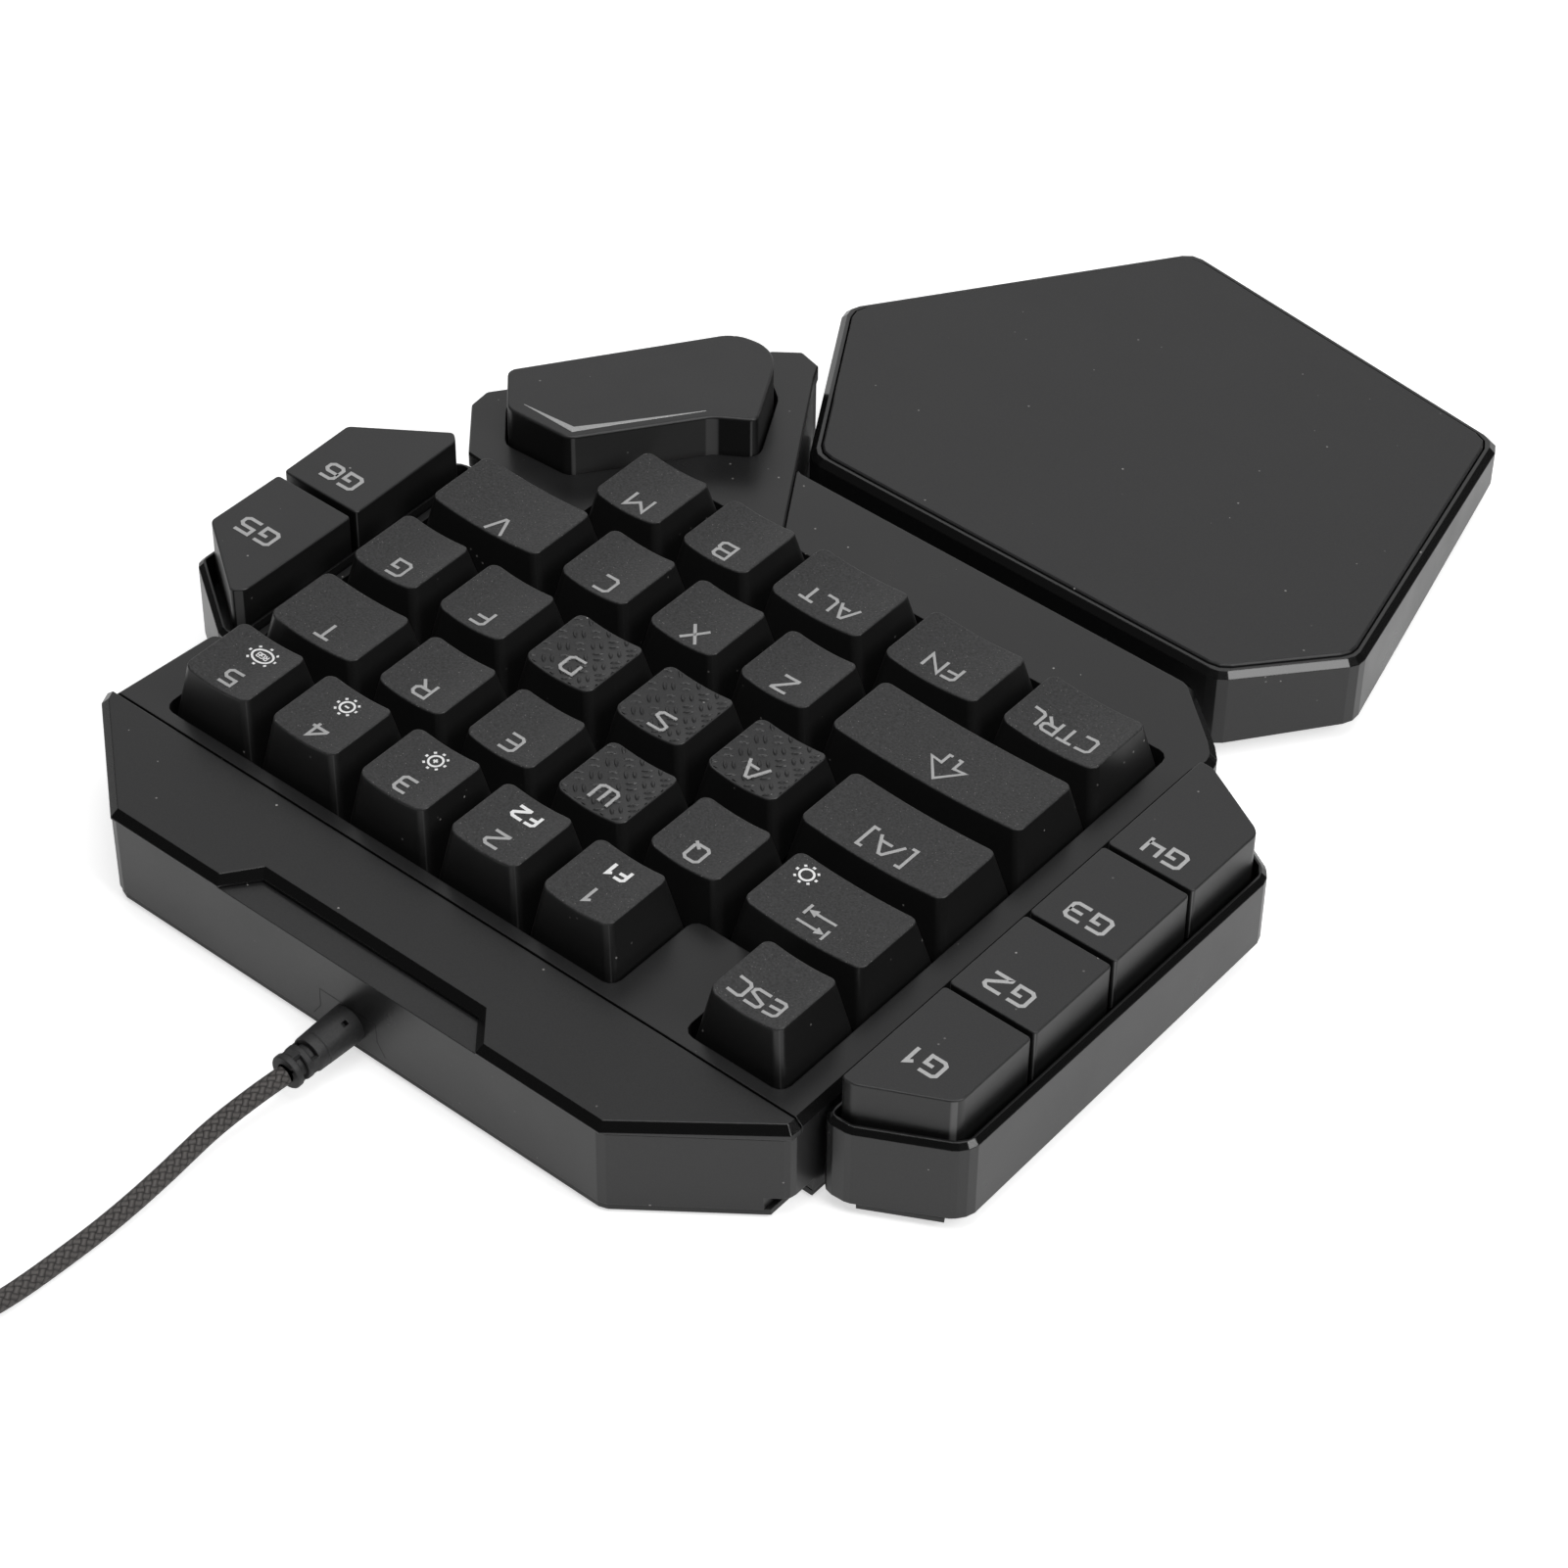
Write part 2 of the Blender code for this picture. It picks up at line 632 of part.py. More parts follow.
def key_well_outline():
    """The opening round the key field, with its step beside M and its notch beside ESC."""
    out = WELL_MARGIN - CAP_GAP / 2
    left = -out
    right = FIELD_WIDTH_SHARE * PITCH + out
    rear = PITCH / 2 + out
    front = PITCH / 2 - len(KEY_ROWS_SHARES) * PITCH - out
    last = KEY_ROWS_SHARES[-1][-1]
    step_x = (last[1] + last[2] / 2) * PITCH + out
    step_y = front + PITCH
    esc, one = KEY_ROWS_SHARES[0][0], KEY_ROWS_SHARES[0][1]
    notch_left = (esc[1] + esc[2] / 2) * PITCH + out
    notch_right = (one[1] - one[2] / 2) * PITCH - out
    notch_floor = rear - PITCH
    return [
        (left, front), (step_x, front), (step_x, step_y), (right, step_y), (right, rear),
        (notch_right, rear), (notch_right, notch_floor), (notch_left, notch_floor),
        (notch_left, rear), (left, rear),
    ]


def thumb_well_outline():
    x, y = thumb_place()
    outline = [(x + a, y + b) for a, b in pitches(THUMB_CAP_SHARES)]
    return grown(outline, THUMB_WELL_MARGIN)


def guides(places):
    """Barrels that guide the plungers, standing on a well's floor."""
    return cylinders(places, GUIDE_RADIUS, FLOOR_TOP - SEAM, GUIDE_TOP, GUIDE_SIDES)


def guide_bores(places):
    """Each bore's flats stay clear of the plunger all round."""
    radius = (PLUNGER_RADIUS + GUIDE_CLEARANCE) / math.cos(math.pi / GUIDE_SIDES)
    return cylinders(places, radius, FLOOR_BOTTOM - CUT_OVERRUN, GUIDE_TOP + CUT_OVERRUN,
                     GUIDE_SIDES)


def housing_shell():
    """The walls and roof of the housing, with its band, hollow underneath."""
    outline = pitches(HOUSING_SHARES)
    shell = chamfer_top(prism(rounded(outline, HOUSING_CORNER), BASE_TOP + SEAM, DECK_TOP),
                        BAND_WIDTH)
    inside = grown(outline, -WALL)
    low_roof = SHELL_LEDGE - DECK_SKIN
    cavity = prism(inside, -CUT_OVERRUN, low_roof)
    return merged(shell, [("DIFFERENCE", cavity)])


def rear_zone():
    """All that lies behind the crease, where the rear panel sits."""
    crease = CREASE_SHARE * PITCH
    left, right = -PITCH, (FIELD_WIDTH_SHARE + 1) * PITCH
    return block((left, crease - SEAM, SHELL_LEDGE), (right, crease + 2 * PITCH, DECK_TOP + PITCH))


def make_top_cover(shop):
    """The deck with its walls, the key and thumb wells and the guides of their plungers."""
    well = rounded(key_well_outline(), WELL_CORNER)
    thumb_well = rounded(thumb_well_outline(), THUMB_CORNER)
    tub = prism(rounded(grown(key_well_outline(), TUB_WALL), WELL_CORNER), FLOOR_BOTTOM,
                SHELL_LEDGE)
    thumb_tub = prism(rounded(grown(thumb_well_outline(), TUB_WALL), THUMB_CORNER), FLOOR_BOTTOM,
                      SHELL_LEDGE)
    places = [(x, y) for _, x, y, _, _ in key_places()] + [thumb_place()]
    steps = [
        ("UNION", tub),
        ("UNION", thumb_tub),
        ("DIFFERENCE", rear_zone()),
        ("DIFFERENCE", prism(grown(pitches(THUMB_PLATE_SHARES), SEAM), SHELL_LEDGE, 2 * DECK_TOP)),
        ("DIFFERENCE", prism(well, FLOOR_TOP, 2 * DECK_TOP)),
        ("DIFFERENCE", prism(thumb_well, FLOOR_TOP, 2 * DECK_TOP)),
        ("UNION", guides(places)),
        ("DIFFERENCE", guide_bores(places)),
        ("DIFFERENCE", side_passages()),
        ("DIFFERENCE", corner_cut(CORNER_CUT_SHARES)),
        ("DIFFERENCE", inlet_bore()),
    ]
    shop.part("top_cover", merged(housing_shell(), steps), "housing_plastic")


def tray_band(bottom, top):
    """A long block from one tray's keys to the other's, between two heights."""
    left, right = LEFT_AXIS_SHARE * PITCH, RIGHT_AXIS_SHARE * PITCH
    return block((left, PASSAGE_FRONT_SHARE * PITCH, bottom),
                 (right, PASSAGE_REAR_SHARE * PITCH, top))


def side_passages():
    """One long slot under the side walls, through which the switch stack reaches both trays."""
    return tray_band(-CUT_OVERRUN, PASSAGE_TOP)


def corner_cut(shares):
    """Takes away what lies low at the left wall, behind the left tray."""
    right, front = pitches([shares])[0]
    return block((-PITCH / 2, front, -CUT_OVERRUN), (right, 2 * PITCH, CORNER_CUT_TOP))


def inlet_bore():
    """The hole in the rear wall for the cable boot, seen from behind as a circle."""
    radius = (BOOT_NECK_RADIUS + GUIDE_CLEARANCE) / math.cos(math.pi / BOOT_SIDES)
    wall = HOUSING_SHARES[0][1] * PITCH
    mesh = cylinders([(0, 0)], radius, -WALL - CUT_OVERRUN, CUT_OVERRUN, BOOT_SIDES)
    shape = bmesh.new()
    shape.from_mesh(mesh)
    bmesh.ops.rotate(shape, verts=shape.verts, matrix=rotation_about_x(-math.pi / 2))
    bmesh.ops.translate(shape, verts=shape.verts, vec=(INLET_SHARE * PITCH, wall, INLET_HEIGHT))
    shape.to_mesh(mesh)
    shape.free()
    return mesh


def make_rear_panel(shop):
    """The plate behind the crease. It falls to the rear and its band follows the notch."""
    outline = grown(pitches(REAR_PANEL_SHARES), 0)
    crease = CREASE_SHARE * PITCH + SEAM
    depth = REAR_PANEL_SHARES[2][1] * PITCH - crease
    mesh = prism(outline, SHELL_LEDGE + SEAM, DECK_TOP)
    chamfer_top(mesh, BAND_WIDTH, lambda middle: middle.y > crease)
    for vert in mesh.vertices:
        if vert.co.z > SHELL_LEDGE + 2 * SEAM:
            vert.co.z -= REAR_FALL * (vert.co.y - crease) / depth
    shop.part("rear_panel", mesh, "housing_plastic", (0, SEAM, 0))


def make_thumb_bezel(shop):
    """The plate round the thumb key, half a millimetre proud of the deck."""
    plate = chamfer_top(
        prism(rounded(pitches(THUMB_PLATE_SHARES), SHARP_CORNER), SHELL_LEDGE + SEAM,
              THUMB_PLATE_TOP), PLATE_EDGE)
    well = prism(rounded(key_well_outline(), WELL_CORNER), FLOOR_TOP, 2 * DECK_TOP)
    thumb_well = prism(rounded(thumb_well_outline(), THUMB_CORNER), FLOOR_TOP, 2 * DECK_TOP)
    mesh = merged(plate, [("DIFFERENCE", well), ("DIFFERENCE", thumb_well)])
    shop.part("thumb_bezel", mesh, "housing_plastic")


def tray_mesh(outline, well, places):
    """A macro tray: walls with a band, a well round its keys, a floor with guides."""
    shell = chamfer_top(prism(rounded(outline, HOUSING_CORNER), TRAY_BOTTOM, TRAY_TOP), TRAY_BAND)
    for vert in shell.vertices:
        if vert.co.z < FLOOR_BOTTOM:
            vert.co.z += TRAY_RISE_SHARE * (LEFT_TRAY_SHARES[0][1] * PITCH - vert.co.y)
    steps = [
        ("DIFFERENCE", prism(grown(outline, -TRAY_WALL), -CUT_OVERRUN, FLOOR_BOTTOM)),
        ("DIFFERENCE", prism(rounded(well, SHARP_CORNER), FLOOR_TOP, 2 * DECK_TOP)),
        ("UNION", guides(places)),
        ("DIFFERENCE", guide_bores(places)),
        ("DIFFERENCE", side_passages()),
    ]
    return merged(shell, steps)


def make_trays(shop):
    left = grown(pitches(LEFT_TRAY_SHARES), -TRAY_WALL)
    right = grown(pitches(RIGHT_TRAY_SHARES), -TRAY_WALL)
    left_places = [(x, y) for _, x, y in left_key_places()]
    right_places = [(x, y) for _, x, y in right_key_places()]
    shop.part("left_macro_tray", tray_mesh(pitches(LEFT_TRAY_SHARES), left, left_places),
              "housing_plastic")
    shop.part("right_macro_tray", tray_mesh(pitches(RIGHT_TRAY_SHARES), right, right_places),
              "housing_plastic")


def tray_base(shares):
    """The steps that add a tray's own floor to the base plate, with a rim inside the tray's wall."""
    outline = grown(pitches(shares), -TRAY_BASE_INSET)
    inside = grown(outline, -TRAY_BASE_RIM)
    return [
        ("UNION", prism(rounded(outline, SHARP_CORNER), BASE_BOTTOM, TRAY_BASE_TOP)),
        ("DIFFERENCE", prism(rounded(inside, SHARP_CORNER), BASE_TOP, TRAY_BASE_TOP + CUT_OVERRUN)),
    ]


def make_base_plate(shop):
    """The bottom cover. Under the left tray only a lip at the rear corner reaches its wall."""
    plate = prism(rounded(grown(pitches(HOUSING_SHARES), -PLATE_EDGE), HOUSING_CORNER),
                  BASE_BOTTOM, BASE_TOP)
    lip = prism(grown(pitches(LEFT_LIP_SHARES), -PLATE_EDGE), LIP_BOTTOM, TRAY_BOTTOM - SEAM)
    steps = [*tray_base(LEFT_TRAY_SHARES), *tray_base(RIGHT_TRAY_SHARES)] + [
        ("DIFFERENCE", tray_band(BASE_TOP, TRAY_BASE_TOP + CUT_OVERRUN)),
        ("UNION", tray_band(BASE_BOTTOM, BASE_TOP)),
        ("UNION", lip),
        ("DIFFERENCE", corner_cut(BASE_CUT_SHARES)),
    ]
    shop.part("base_plate", merged(plate, steps), "housing_plastic")


def stack_layer(bottom, thickness):
    return prism(pitches(STACK_SHARES), bottom, bottom + thickness)


def make_switch_stack(shop):
    """Steel plate, contact membrane and the rubber mat with a dome under each plunger."""
    membrane = PLATE_BOTTOM + PLATE_THICK + STACK_GAP
    mat = membrane + MEMBRANE_THICK + STACK_GAP
    places = [(x, y) for _, x, y, _, _ in key_places()] + [thumb_place()]
    places += [(x, y) for _, x, y in left_key_places() + right_key_places()]
    domes = cylinders(places, DOME_RADIUS, mat + MAT_THICK / 2, DOME_TOP, DOME_SIDES,
                      DOME_TOP_RADIUS)
    shop.part("support_plate", stack_layer(PLATE_BOTTOM, PLATE_THICK), "plate_steel")
    shop.part("contact_membrane", stack_layer(membrane, MEMBRANE_THICK), "membrane_film")
    shop.part("dome_mat", merged(stack_layer(mat, MAT_THICK), [("UNION", domes)]), "mat_rubber")


def make_board(shop):
    """The controller board behind the keys, with its largest chip."""
    x, y = INLET_SHARE * PITCH, BOARD_Y_SHARE * PITCH
    top = BOARD_BOTTOM + BOARD_THICK
    board = block((x - BOARD_WIDTH / 2, y - BOARD_DEPTH / 2, BOARD_BOTTOM),
                  (x + BOARD_WIDTH / 2, y + BOARD_DEPTH / 2, top))
    left = x - BOARD_WIDTH / 3
    chip = block((left, y - BOARD_CHIP / 2, BOARD_BOTTOM + BOARD_THICK / 2),
                 (left + BOARD_CHIP, y + BOARD_CHIP / 2, top + BOARD_CHIP_HEIGHT))
    shop.part("controller_board", merged(board, [("UNION", chip)]), "board")


def palm_outline():
    return scaled(PALM_OUTLINE_SHARES, PALM_WIDTH, PALM_DEPTH, PALM_LEFT, PALM_REAR)


def slope_top(mesh, level):
    """Tips what lies above a level to the palm rest's fall towards the user."""
    for vert in mesh.vertices:
        if vert.co.z > level:
            vert.co.z -= PALM_FALL_SHARE * (PALM_REAR - vert.co.y)


def make_palm_rest(shop):
    """A wedge with a banded rim, hollow below, and the pad that lies in its recess."""
    outline = palm_outline()
    body = chamfer_top(prism(rounded(outline, PALM_CORNER), PALM_BOTTOM, PALM_TOP), PALM_BAND)
    slope_top(body, PALM_TOP - 2 * PALM_BAND)
    recess_top = 2 * PALM_TOP
    recess = prism(rounded(grown(outline, -PALM_RIM), PALM_CORNER), PALM_TOP - PALM_PAD_DEPTH,
                   recess_top)
    slope_top(recess, 0)
    cavity = prism(grown(outline, -PALM_WALL), -CUT_OVERRUN, PALM_TOP - PALM_SKIN)
    slope_top(cavity, 0)
    shop.part("palm_rest_body", merged(body, [("DIFFERENCE", recess), ("DIFFERENCE", cavity)]),
              "housing_plastic")
    pad = chamfer_top(
        prism(rounded(grown(outline, -PALM_RIM - PALM_PAD_GAP), PALM_CORNER),
              PALM_TOP - PALM_PAD_DEPTH + JOINT_GAP, PALM_TOP + PALM_PAD_RISE), PALM_PAD_EDGE)
    slope_top(pad, 0)
    shop.part("palm_rest_pad", pad, "palm_pad")


def make_palm_base(shop):
    """The plate that closes the palm rest from below, set in from its walls."""
    outline = rounded(grown(palm_outline(), -PALM_BASE_INSET), PALM_CORNER)
    shop.part("palm_rest_base", prism(outline, PALM_BASE_BOTTOM, PALM_BASE_TOP), "inner_plastic")


def make_bridge(shop):
    """The bar that ties the palm rest to the housing under the gap between them."""
    mesh = prism(pitches(BRIDGE_SHARES), BRIDGE_BOTTOM, BRIDGE_TOP)
    shop.part("palm_rest_bridge", mesh, "inner_plastic")


def make_feet(shop):
    for name, x, y in FOOT_SHARES:
        mesh = cylinders([(0, 0)], FOOT_RADIUS, 0, BASE_BOTTOM, FOOT_SIDES)
        shop.part(name, mesh, "rubber", (x * PITCH, y * PITCH, 0))
    for name, x, y in PALM_FOOT_SHARES:
        place = (PALM_LEFT + x * PALM_WIDTH, PALM_REAR + y * PALM_DEPTH, 0)
        mesh = cylinders([(0, 0)], FOOT_RADIUS, 0, PALM_BASE_BOTTOM, FOOT_SIDES)
        shop.part(name, mesh, "rubber", place)


def boot_profile():
    """The boot's half section, from its outer end back to the wall: radius and distance."""
    points = [(0, BOOT_LENGTH), (BOOT_FLANGE_RADIUS, BOOT_LENGTH)]
    at = BOOT_LENGTH - BOOT_RING_LENGTH
    points.append((BOOT_FLANGE_RADIUS, at))
    for _ in range(BOOT_RINGS):
        points += [(CORD_DIAMETER / 2 + SEAM, at), (CORD_DIAMETER / 2 + SEAM, at - BOOT_RING_GAP)]
        at -= BOOT_RING_GAP
        points += [(BOOT_FLANGE_RADIUS, at), (BOOT_FLANGE_RADIUS, at - BOOT_RING_LENGTH)]
        at -= BOOT_RING_LENGTH
    points += [(BOOT_RADIUS, BOOT_BARREL - BOOT_RING_LENGTH), (BOOT_RADIUS, JOINT_GAP)]
    points += [(BOOT_NECK_RADIUS, JOINT_GAP), (BOOT_NECK_RADIUS, -BOOT_INSIDE), (0, -BOOT_INSIDE)]
    return points


def turned(profile, sides):
    """A profile of radius and height spun about Z, as a mesh."""
    mesh = bpy.data.meshes.new("profile")
    shape = bmesh.new()
    verts = [shape.verts.new((radius, 0, height)) for radius, height in profile]
    for a, b in zip(verts, verts[1:]):
        shape.edges.new((a, b))
    shape.to_mesh(mesh)
    shape.free()
    holder = held("turned", mesh)
    screw = holder.modifiers.new("spin", "SCREW")
    screw.steps = sides
    screw.render_steps = sides
    screw.use_merge_vertices = True
    screw.merge_threshold = WELD
    result = evaluated_mesh(holder)
    bpy.data.objects.remove(holder)
    return result


def make_boot(shop):
    boot = shop.part("cable_boot", turned(boot_profile(), BOOT_SIDES), "rubber")
    boot.rotation_euler = (-math.pi / 2, 0, 0)
    boot.location = (INLET_SHARE * PITCH, HOUSING_SHARES[0][1] * PITCH, INLET_HEIGHT)


def smooth_route(points, step):
    """Points at even steps along a smooth curve through the given ones."""
    points = [Vector(p) for p in points]
    ends = [2 * points[0] - points[1], *points, 2 * points[-1] - points[-2]]
    fine = []
    for a, b, c, d in zip(ends, ends[1:], ends[2:], ends[3:]):
        for i in range(FINE_STEPS):
            t = i / FINE_STEPS
            fine.append((2 * b + (c - a) * t + (2 * a - 5 * b + 4 * c - d) * t ** 2
                         + (3 * b - a - 3 * c + d) * t ** 3) / 2)
    fine.append(points[-1])
    length = sum((b - a).length for a, b in zip(fine, fine[1:]))
    count = round(length / step)
    spaced, gone, target = [fine[0]], 0.0, length / count
    for a, b in zip(fine, fine[1:]):
        gone += (b - a).length
        if gone >= target * len(spaced) - WELD and len(spaced) < count:
            spaced.append(b)
    return spaced + [fine[-1]], length


def tube(points, diameter, resolution):
    curve = bpy.data.curves.new("tube", "CURVE")
    curve.dimensions = "3D"
    curve.bevel_depth = diameter / 2
    curve.bevel_resolution = resolution
    curve.use_fill_caps = True
    spline = curve.splines.new("POLY")
    spline.points.add(len(points) - 1)
    for point, co in zip(spline.points, points):
        point.co = (*co, 1)
    return mesh_of_curve(curve)


def coil_centre():
    """The coil lies so that the cord's free stretch runs into it square."""
    end = Vector(CORD_ROUTE[-1])
    outer = COIL_MIDDLE_RADIUS + COIL_TURNS * COIL_SPACING / 2
    return Vector((end.x + outer, end.y + COIL_LEAD + JOINT_GAP, COIL_BASE + CORD_DIAMETER / 2))


def coil_points():
    """Loops that spiral in and out at a steady rate and climb a layer where the spiral turns back."""
    centre = coil_centre()
    inner = COIL_MIDDLE_RADIUS - COIL_TURNS * COIL_SPACING / 2
    loops = COIL_LAYERS * COIL_TURNS
    points = []
    for i in range(loops * COIL_POINTS + 1):
        turns = i / COIL_POINTS
        phase = turns % (2 * COIL_TURNS)
        radius = inner + COIL_SPACING * abs(phase - COIL_TURNS)
        turned_back = round(turns / COIL_TURNS)
        past = turns - turned_back * COIL_TURNS
        climb = min(1, max(0, past / CLIMB_TURNS + 1 / 2))
        layer = min(COIL_LAYERS - 1, max(0, turned_back - 1 + climb))
        angle = math.pi - turns * 2 * math.pi
        points.append(Vector((centre.x + radius * math.cos(angle),
                              centre.y + radius * math.sin(angle),
                              centre.z + layer * COIL_SPACING)))
    return points


def coil_route():
    """The coil with a straight lead in, and its tail down to the plug."""
    loops = coil_points()
    start, end = loops[0], loops[-1]
    lead = [start - Vector((0, COIL_LEAD, 0))]
    tail, _ = smooth_route([end] + [end + Vector(p) for p in TAIL_ROUTE], CORD_STEP)
    last = tail[-1] - tail[-2]
    last.z = 0
    last.normalize()
    return lead + loops + tail[1:] + [tail[-1] + last * COIL_LEAD]


def least_self_gap(points):
    """The smallest clear space between two stretches of the tube that aren't next to each other."""
    apart = COIL_POINTS // 2
    least = math.inf
    for i, a in enumerate(points):
        for b, c in zip(points[i + apart:], points[i + apart + 1:]):
            along = c - b
            t = min(1.0, max(0.0, (a - b).dot(along) / along.length_squared))
            least = min(least, (b + along * t - a).length)
    return least - CORD_DIAMETER


def make_cord(shop):
    run, run_length = smooth_route(CORD_ROUTE, CORD_STEP)
    coil = coil_route()
    coil_length = sum((b - a).length for a, b in zip(coil, coil[1:]))
    print(f"cord: {run_length:.3f} m free, {coil_length:.3f} m in the coil and tail")
    print(f"coil's least gap to itself: {1000 * least_self_gap(coil):.2f} mm")
    shop.part("cord_run", tube(run, CORD_DIAMETER, CORD_SIDES_RESOLUTION), "braid")
    shop.part("cord_coil", tube(coil, CORD_DIAMETER, COIL_RESOLUTION), "braid")
    return coil


def make_tie(shop):
    """A flat strap round the coil's bundle, on the side away from the cord's ends."""
    centre = coil_centre()
    half = COIL_TURNS * COIL_SPACING / 2 + CORD_DIAMETER / 2 + TIE_CLEARANCE
    low = COIL_BASE - TIE_CLEARANCE
    high = COIL_BASE + (COIL_LAYERS - 1) * COIL_SPACING + CORD_DIAMETER + TIE_CLEARANCE
    hole = [(-half, low), (half, low), (half, high), (-half, high)]
    ring = merged(prism(rounded(grown(hole, TIE_THICK), TIE_CORNER), 0, TIE_WIDTH),
                  [("DIFFERENCE", prism(rounded(hole, TIE_CORNER - TIE_THICK), -CUT_OVERRUN,
                                        TIE_WIDTH + CUT_OVERRUN))])
    tie = shop.part("cord_tie", ring, "rubber")
    tie.rotation_euler = (math.pi / 2, 0, 0)
    tie.location = (centre.x + COIL_MIDDLE_RADIUS, centre.y + TIE_WIDTH / 2, 0)


def along_plug(low, high, width, height, corner):
    """A rounded bar along the plug's axis, from one distance to another."""
    outline = [(-width / 2, -height / 2), (width / 2, -height / 2), (width / 2, height / 2),
               (-width / 2, height / 2)]
    return prism(rounded(outline, corner), low, high)


def make_plug(shop, coil):
    """The plug at the tail's end: a moulded grip with a neck, and its metal shell."""
    end = coil[-1]
    heading = coil[-1] - coil[-2]
    turn = math.atan2(heading.y, heading.x)
    neck = cylinders([(0, 0)], CORD_DIAMETER / 2 + SEAM, JOINT_GAP, PLUG_NECK_LENGTH + CUT_OVERRUN,
                     BOOT_SIDES, PLUG_NECK_RADIUS)
    grip = along_plug(PLUG_NECK_LENGTH, PLUG_NECK_LENGTH + PLUG_LENGTH, PLUG_WIDTH, PLUG_HEIGHT,
                      PLUG_CORNER)
    shell_start = PLUG_NECK_LENGTH + PLUG_LENGTH + JOINT_GAP
    shell_end = shell_start + SHELL_LENGTH
    shell = merged(
        along_plug(shell_start, shell_end, SHELL_WIDTH, SHELL_HEIGHT, SHELL_SKIN),
        [("DIFFERENCE", block(
            (-SHELL_WIDTH / 2 + SHELL_SKIN, -SHELL_HEIGHT / 2 + SHELL_SKIN,
             shell_start + SHELL_SKIN),
            (SHELL_WIDTH / 2 - SHELL_SKIN, SHELL_HEIGHT / 2 - SHELL_SKIN,
             shell_end + CUT_OVERRUN)))])
    for name, mesh, material in (("plug_body", merged(grip, [("UNION", neck)]), "rubber"),
                                 ("plug_shell", shell, "plug_metal")):
        obj = shop.part(name, mesh, material, end)
        obj.rotation_euler = (math.pi / 2, 0, turn + math.pi / 2)


def frame_origin():
    """The middle of the keypad's plan extent, without its cord."""
    trays = pitches(LEFT_TRAY_SHARES) + pitches(RIGHT_TRAY_SHARES)
    across = [x for x, _ in trays]
    rear = HOUSING_SHARES[0][1] * PITCH
    front = min(y for _, y in rounded(palm_outline(), PALM_CORNER))
    return ((min(across) + max(across)) / 2, (rear + front) / 2)


def main():
    clear_scene()
    make_materials()
    shop = Workshop(frame_origin())
    make_field_caps(shop)
    make_macro_caps(shop)
    make_thumb_cap(shop)
    make_top_cover(shop)
    make_rear_panel(shop)
    make_thumb_bezel(shop)
    make_trays(shop)
    make_base_plate(shop)
    make_switch_stack(shop)
    make_board(shop)
    make_palm_rest(shop)
    make_palm_base(shop)
    make_bridge(shop)
    make_feet(shop)
    make_boot(shop)
    coil = make_cord(shop)
    make_tie(shop)
    make_plug(shop, coil)


main()
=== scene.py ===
# %% [markdown]
# A one-handed gaming keypad, dressed for its picture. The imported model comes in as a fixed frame:
# it says where every part is and how it moves. This script adds what the eye looks for, which is
# rounded edges, printed legends, moulded grain, the braid of the cord and soft studio light.

# %% Load the frame
import math

import bmesh
import bpy
from mathutils import Matrix, Vector


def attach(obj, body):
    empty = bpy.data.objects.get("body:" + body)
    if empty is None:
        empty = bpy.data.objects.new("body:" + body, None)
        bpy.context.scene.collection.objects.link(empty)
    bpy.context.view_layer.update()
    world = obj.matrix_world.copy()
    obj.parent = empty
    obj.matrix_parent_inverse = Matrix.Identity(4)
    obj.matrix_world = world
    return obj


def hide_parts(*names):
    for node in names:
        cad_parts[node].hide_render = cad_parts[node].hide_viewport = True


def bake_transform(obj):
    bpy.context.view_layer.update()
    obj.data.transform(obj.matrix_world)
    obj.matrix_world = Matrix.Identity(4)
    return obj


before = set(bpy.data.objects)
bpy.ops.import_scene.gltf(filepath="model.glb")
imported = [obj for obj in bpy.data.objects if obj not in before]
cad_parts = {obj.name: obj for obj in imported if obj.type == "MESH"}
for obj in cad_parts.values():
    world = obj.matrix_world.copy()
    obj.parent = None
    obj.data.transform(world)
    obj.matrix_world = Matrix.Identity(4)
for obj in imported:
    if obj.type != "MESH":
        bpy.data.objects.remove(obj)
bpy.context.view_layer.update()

# %% [markdown]
# Sizes on a keypad go by the key pitch, 19.05 mm on nearly every keyboard. The plan's corner point
# is the left edge of the key field at the middle of the number row, and a helper turns a place
# given in pitches from there into the frame's metres.

# %% Sizes that several pieces share
MM = 0.001
PITCH = 19.05 * MM
FIELD_CORNER = Vector((-62.0649 * MM, 87.1956 * MM, 0))
CAP_GAP = 0.95 * MM
CAP_BOTTOM = 16.1 * MM
ROW_TOPS = [29.15 * MM, 27.25 * MM, 27.35 * MM, 27.65 * MM, 27.15 * MM]
TAPERS = {"side": 2.15 * MM, "rear": 1.95 * MM, "front": 2.4 * MM}
DISH_DEPTH = 0.85 * MM
MACRO_TOP = 26.4 * MM
THUMB_TOP = 28.3 * MM


def in_frame(x_pitches, y_pitches, height=0.0):
    """A place given in key pitches from the field's corner, in the frame's metres."""
    return FIELD_CORNER + Vector((x_pitches * PITCH, y_pitches * PITCH, height))


def scene_object(name, data):
    """A new object, linked to the scene."""
    made = bpy.data.objects.new(name, data)
    bpy.context.scene.collection.objects.link(made)
    return made


print("the number row's middle is at", [round(v, 4) for v in in_frame(3.375, 0)])

# %% [markdown]
# The camera comes first. Its place was worked out from the photograph: the key grid gives the
# scale, and about thirty points of the keys and the housing give the angle, the distance and the
# lens. Starting at its aim, the camera is turned, tipped up, drawn back by its distance and rolled
# a little. The picture is square, so the sensor's width and the focal length in pixels give the
# lens length.

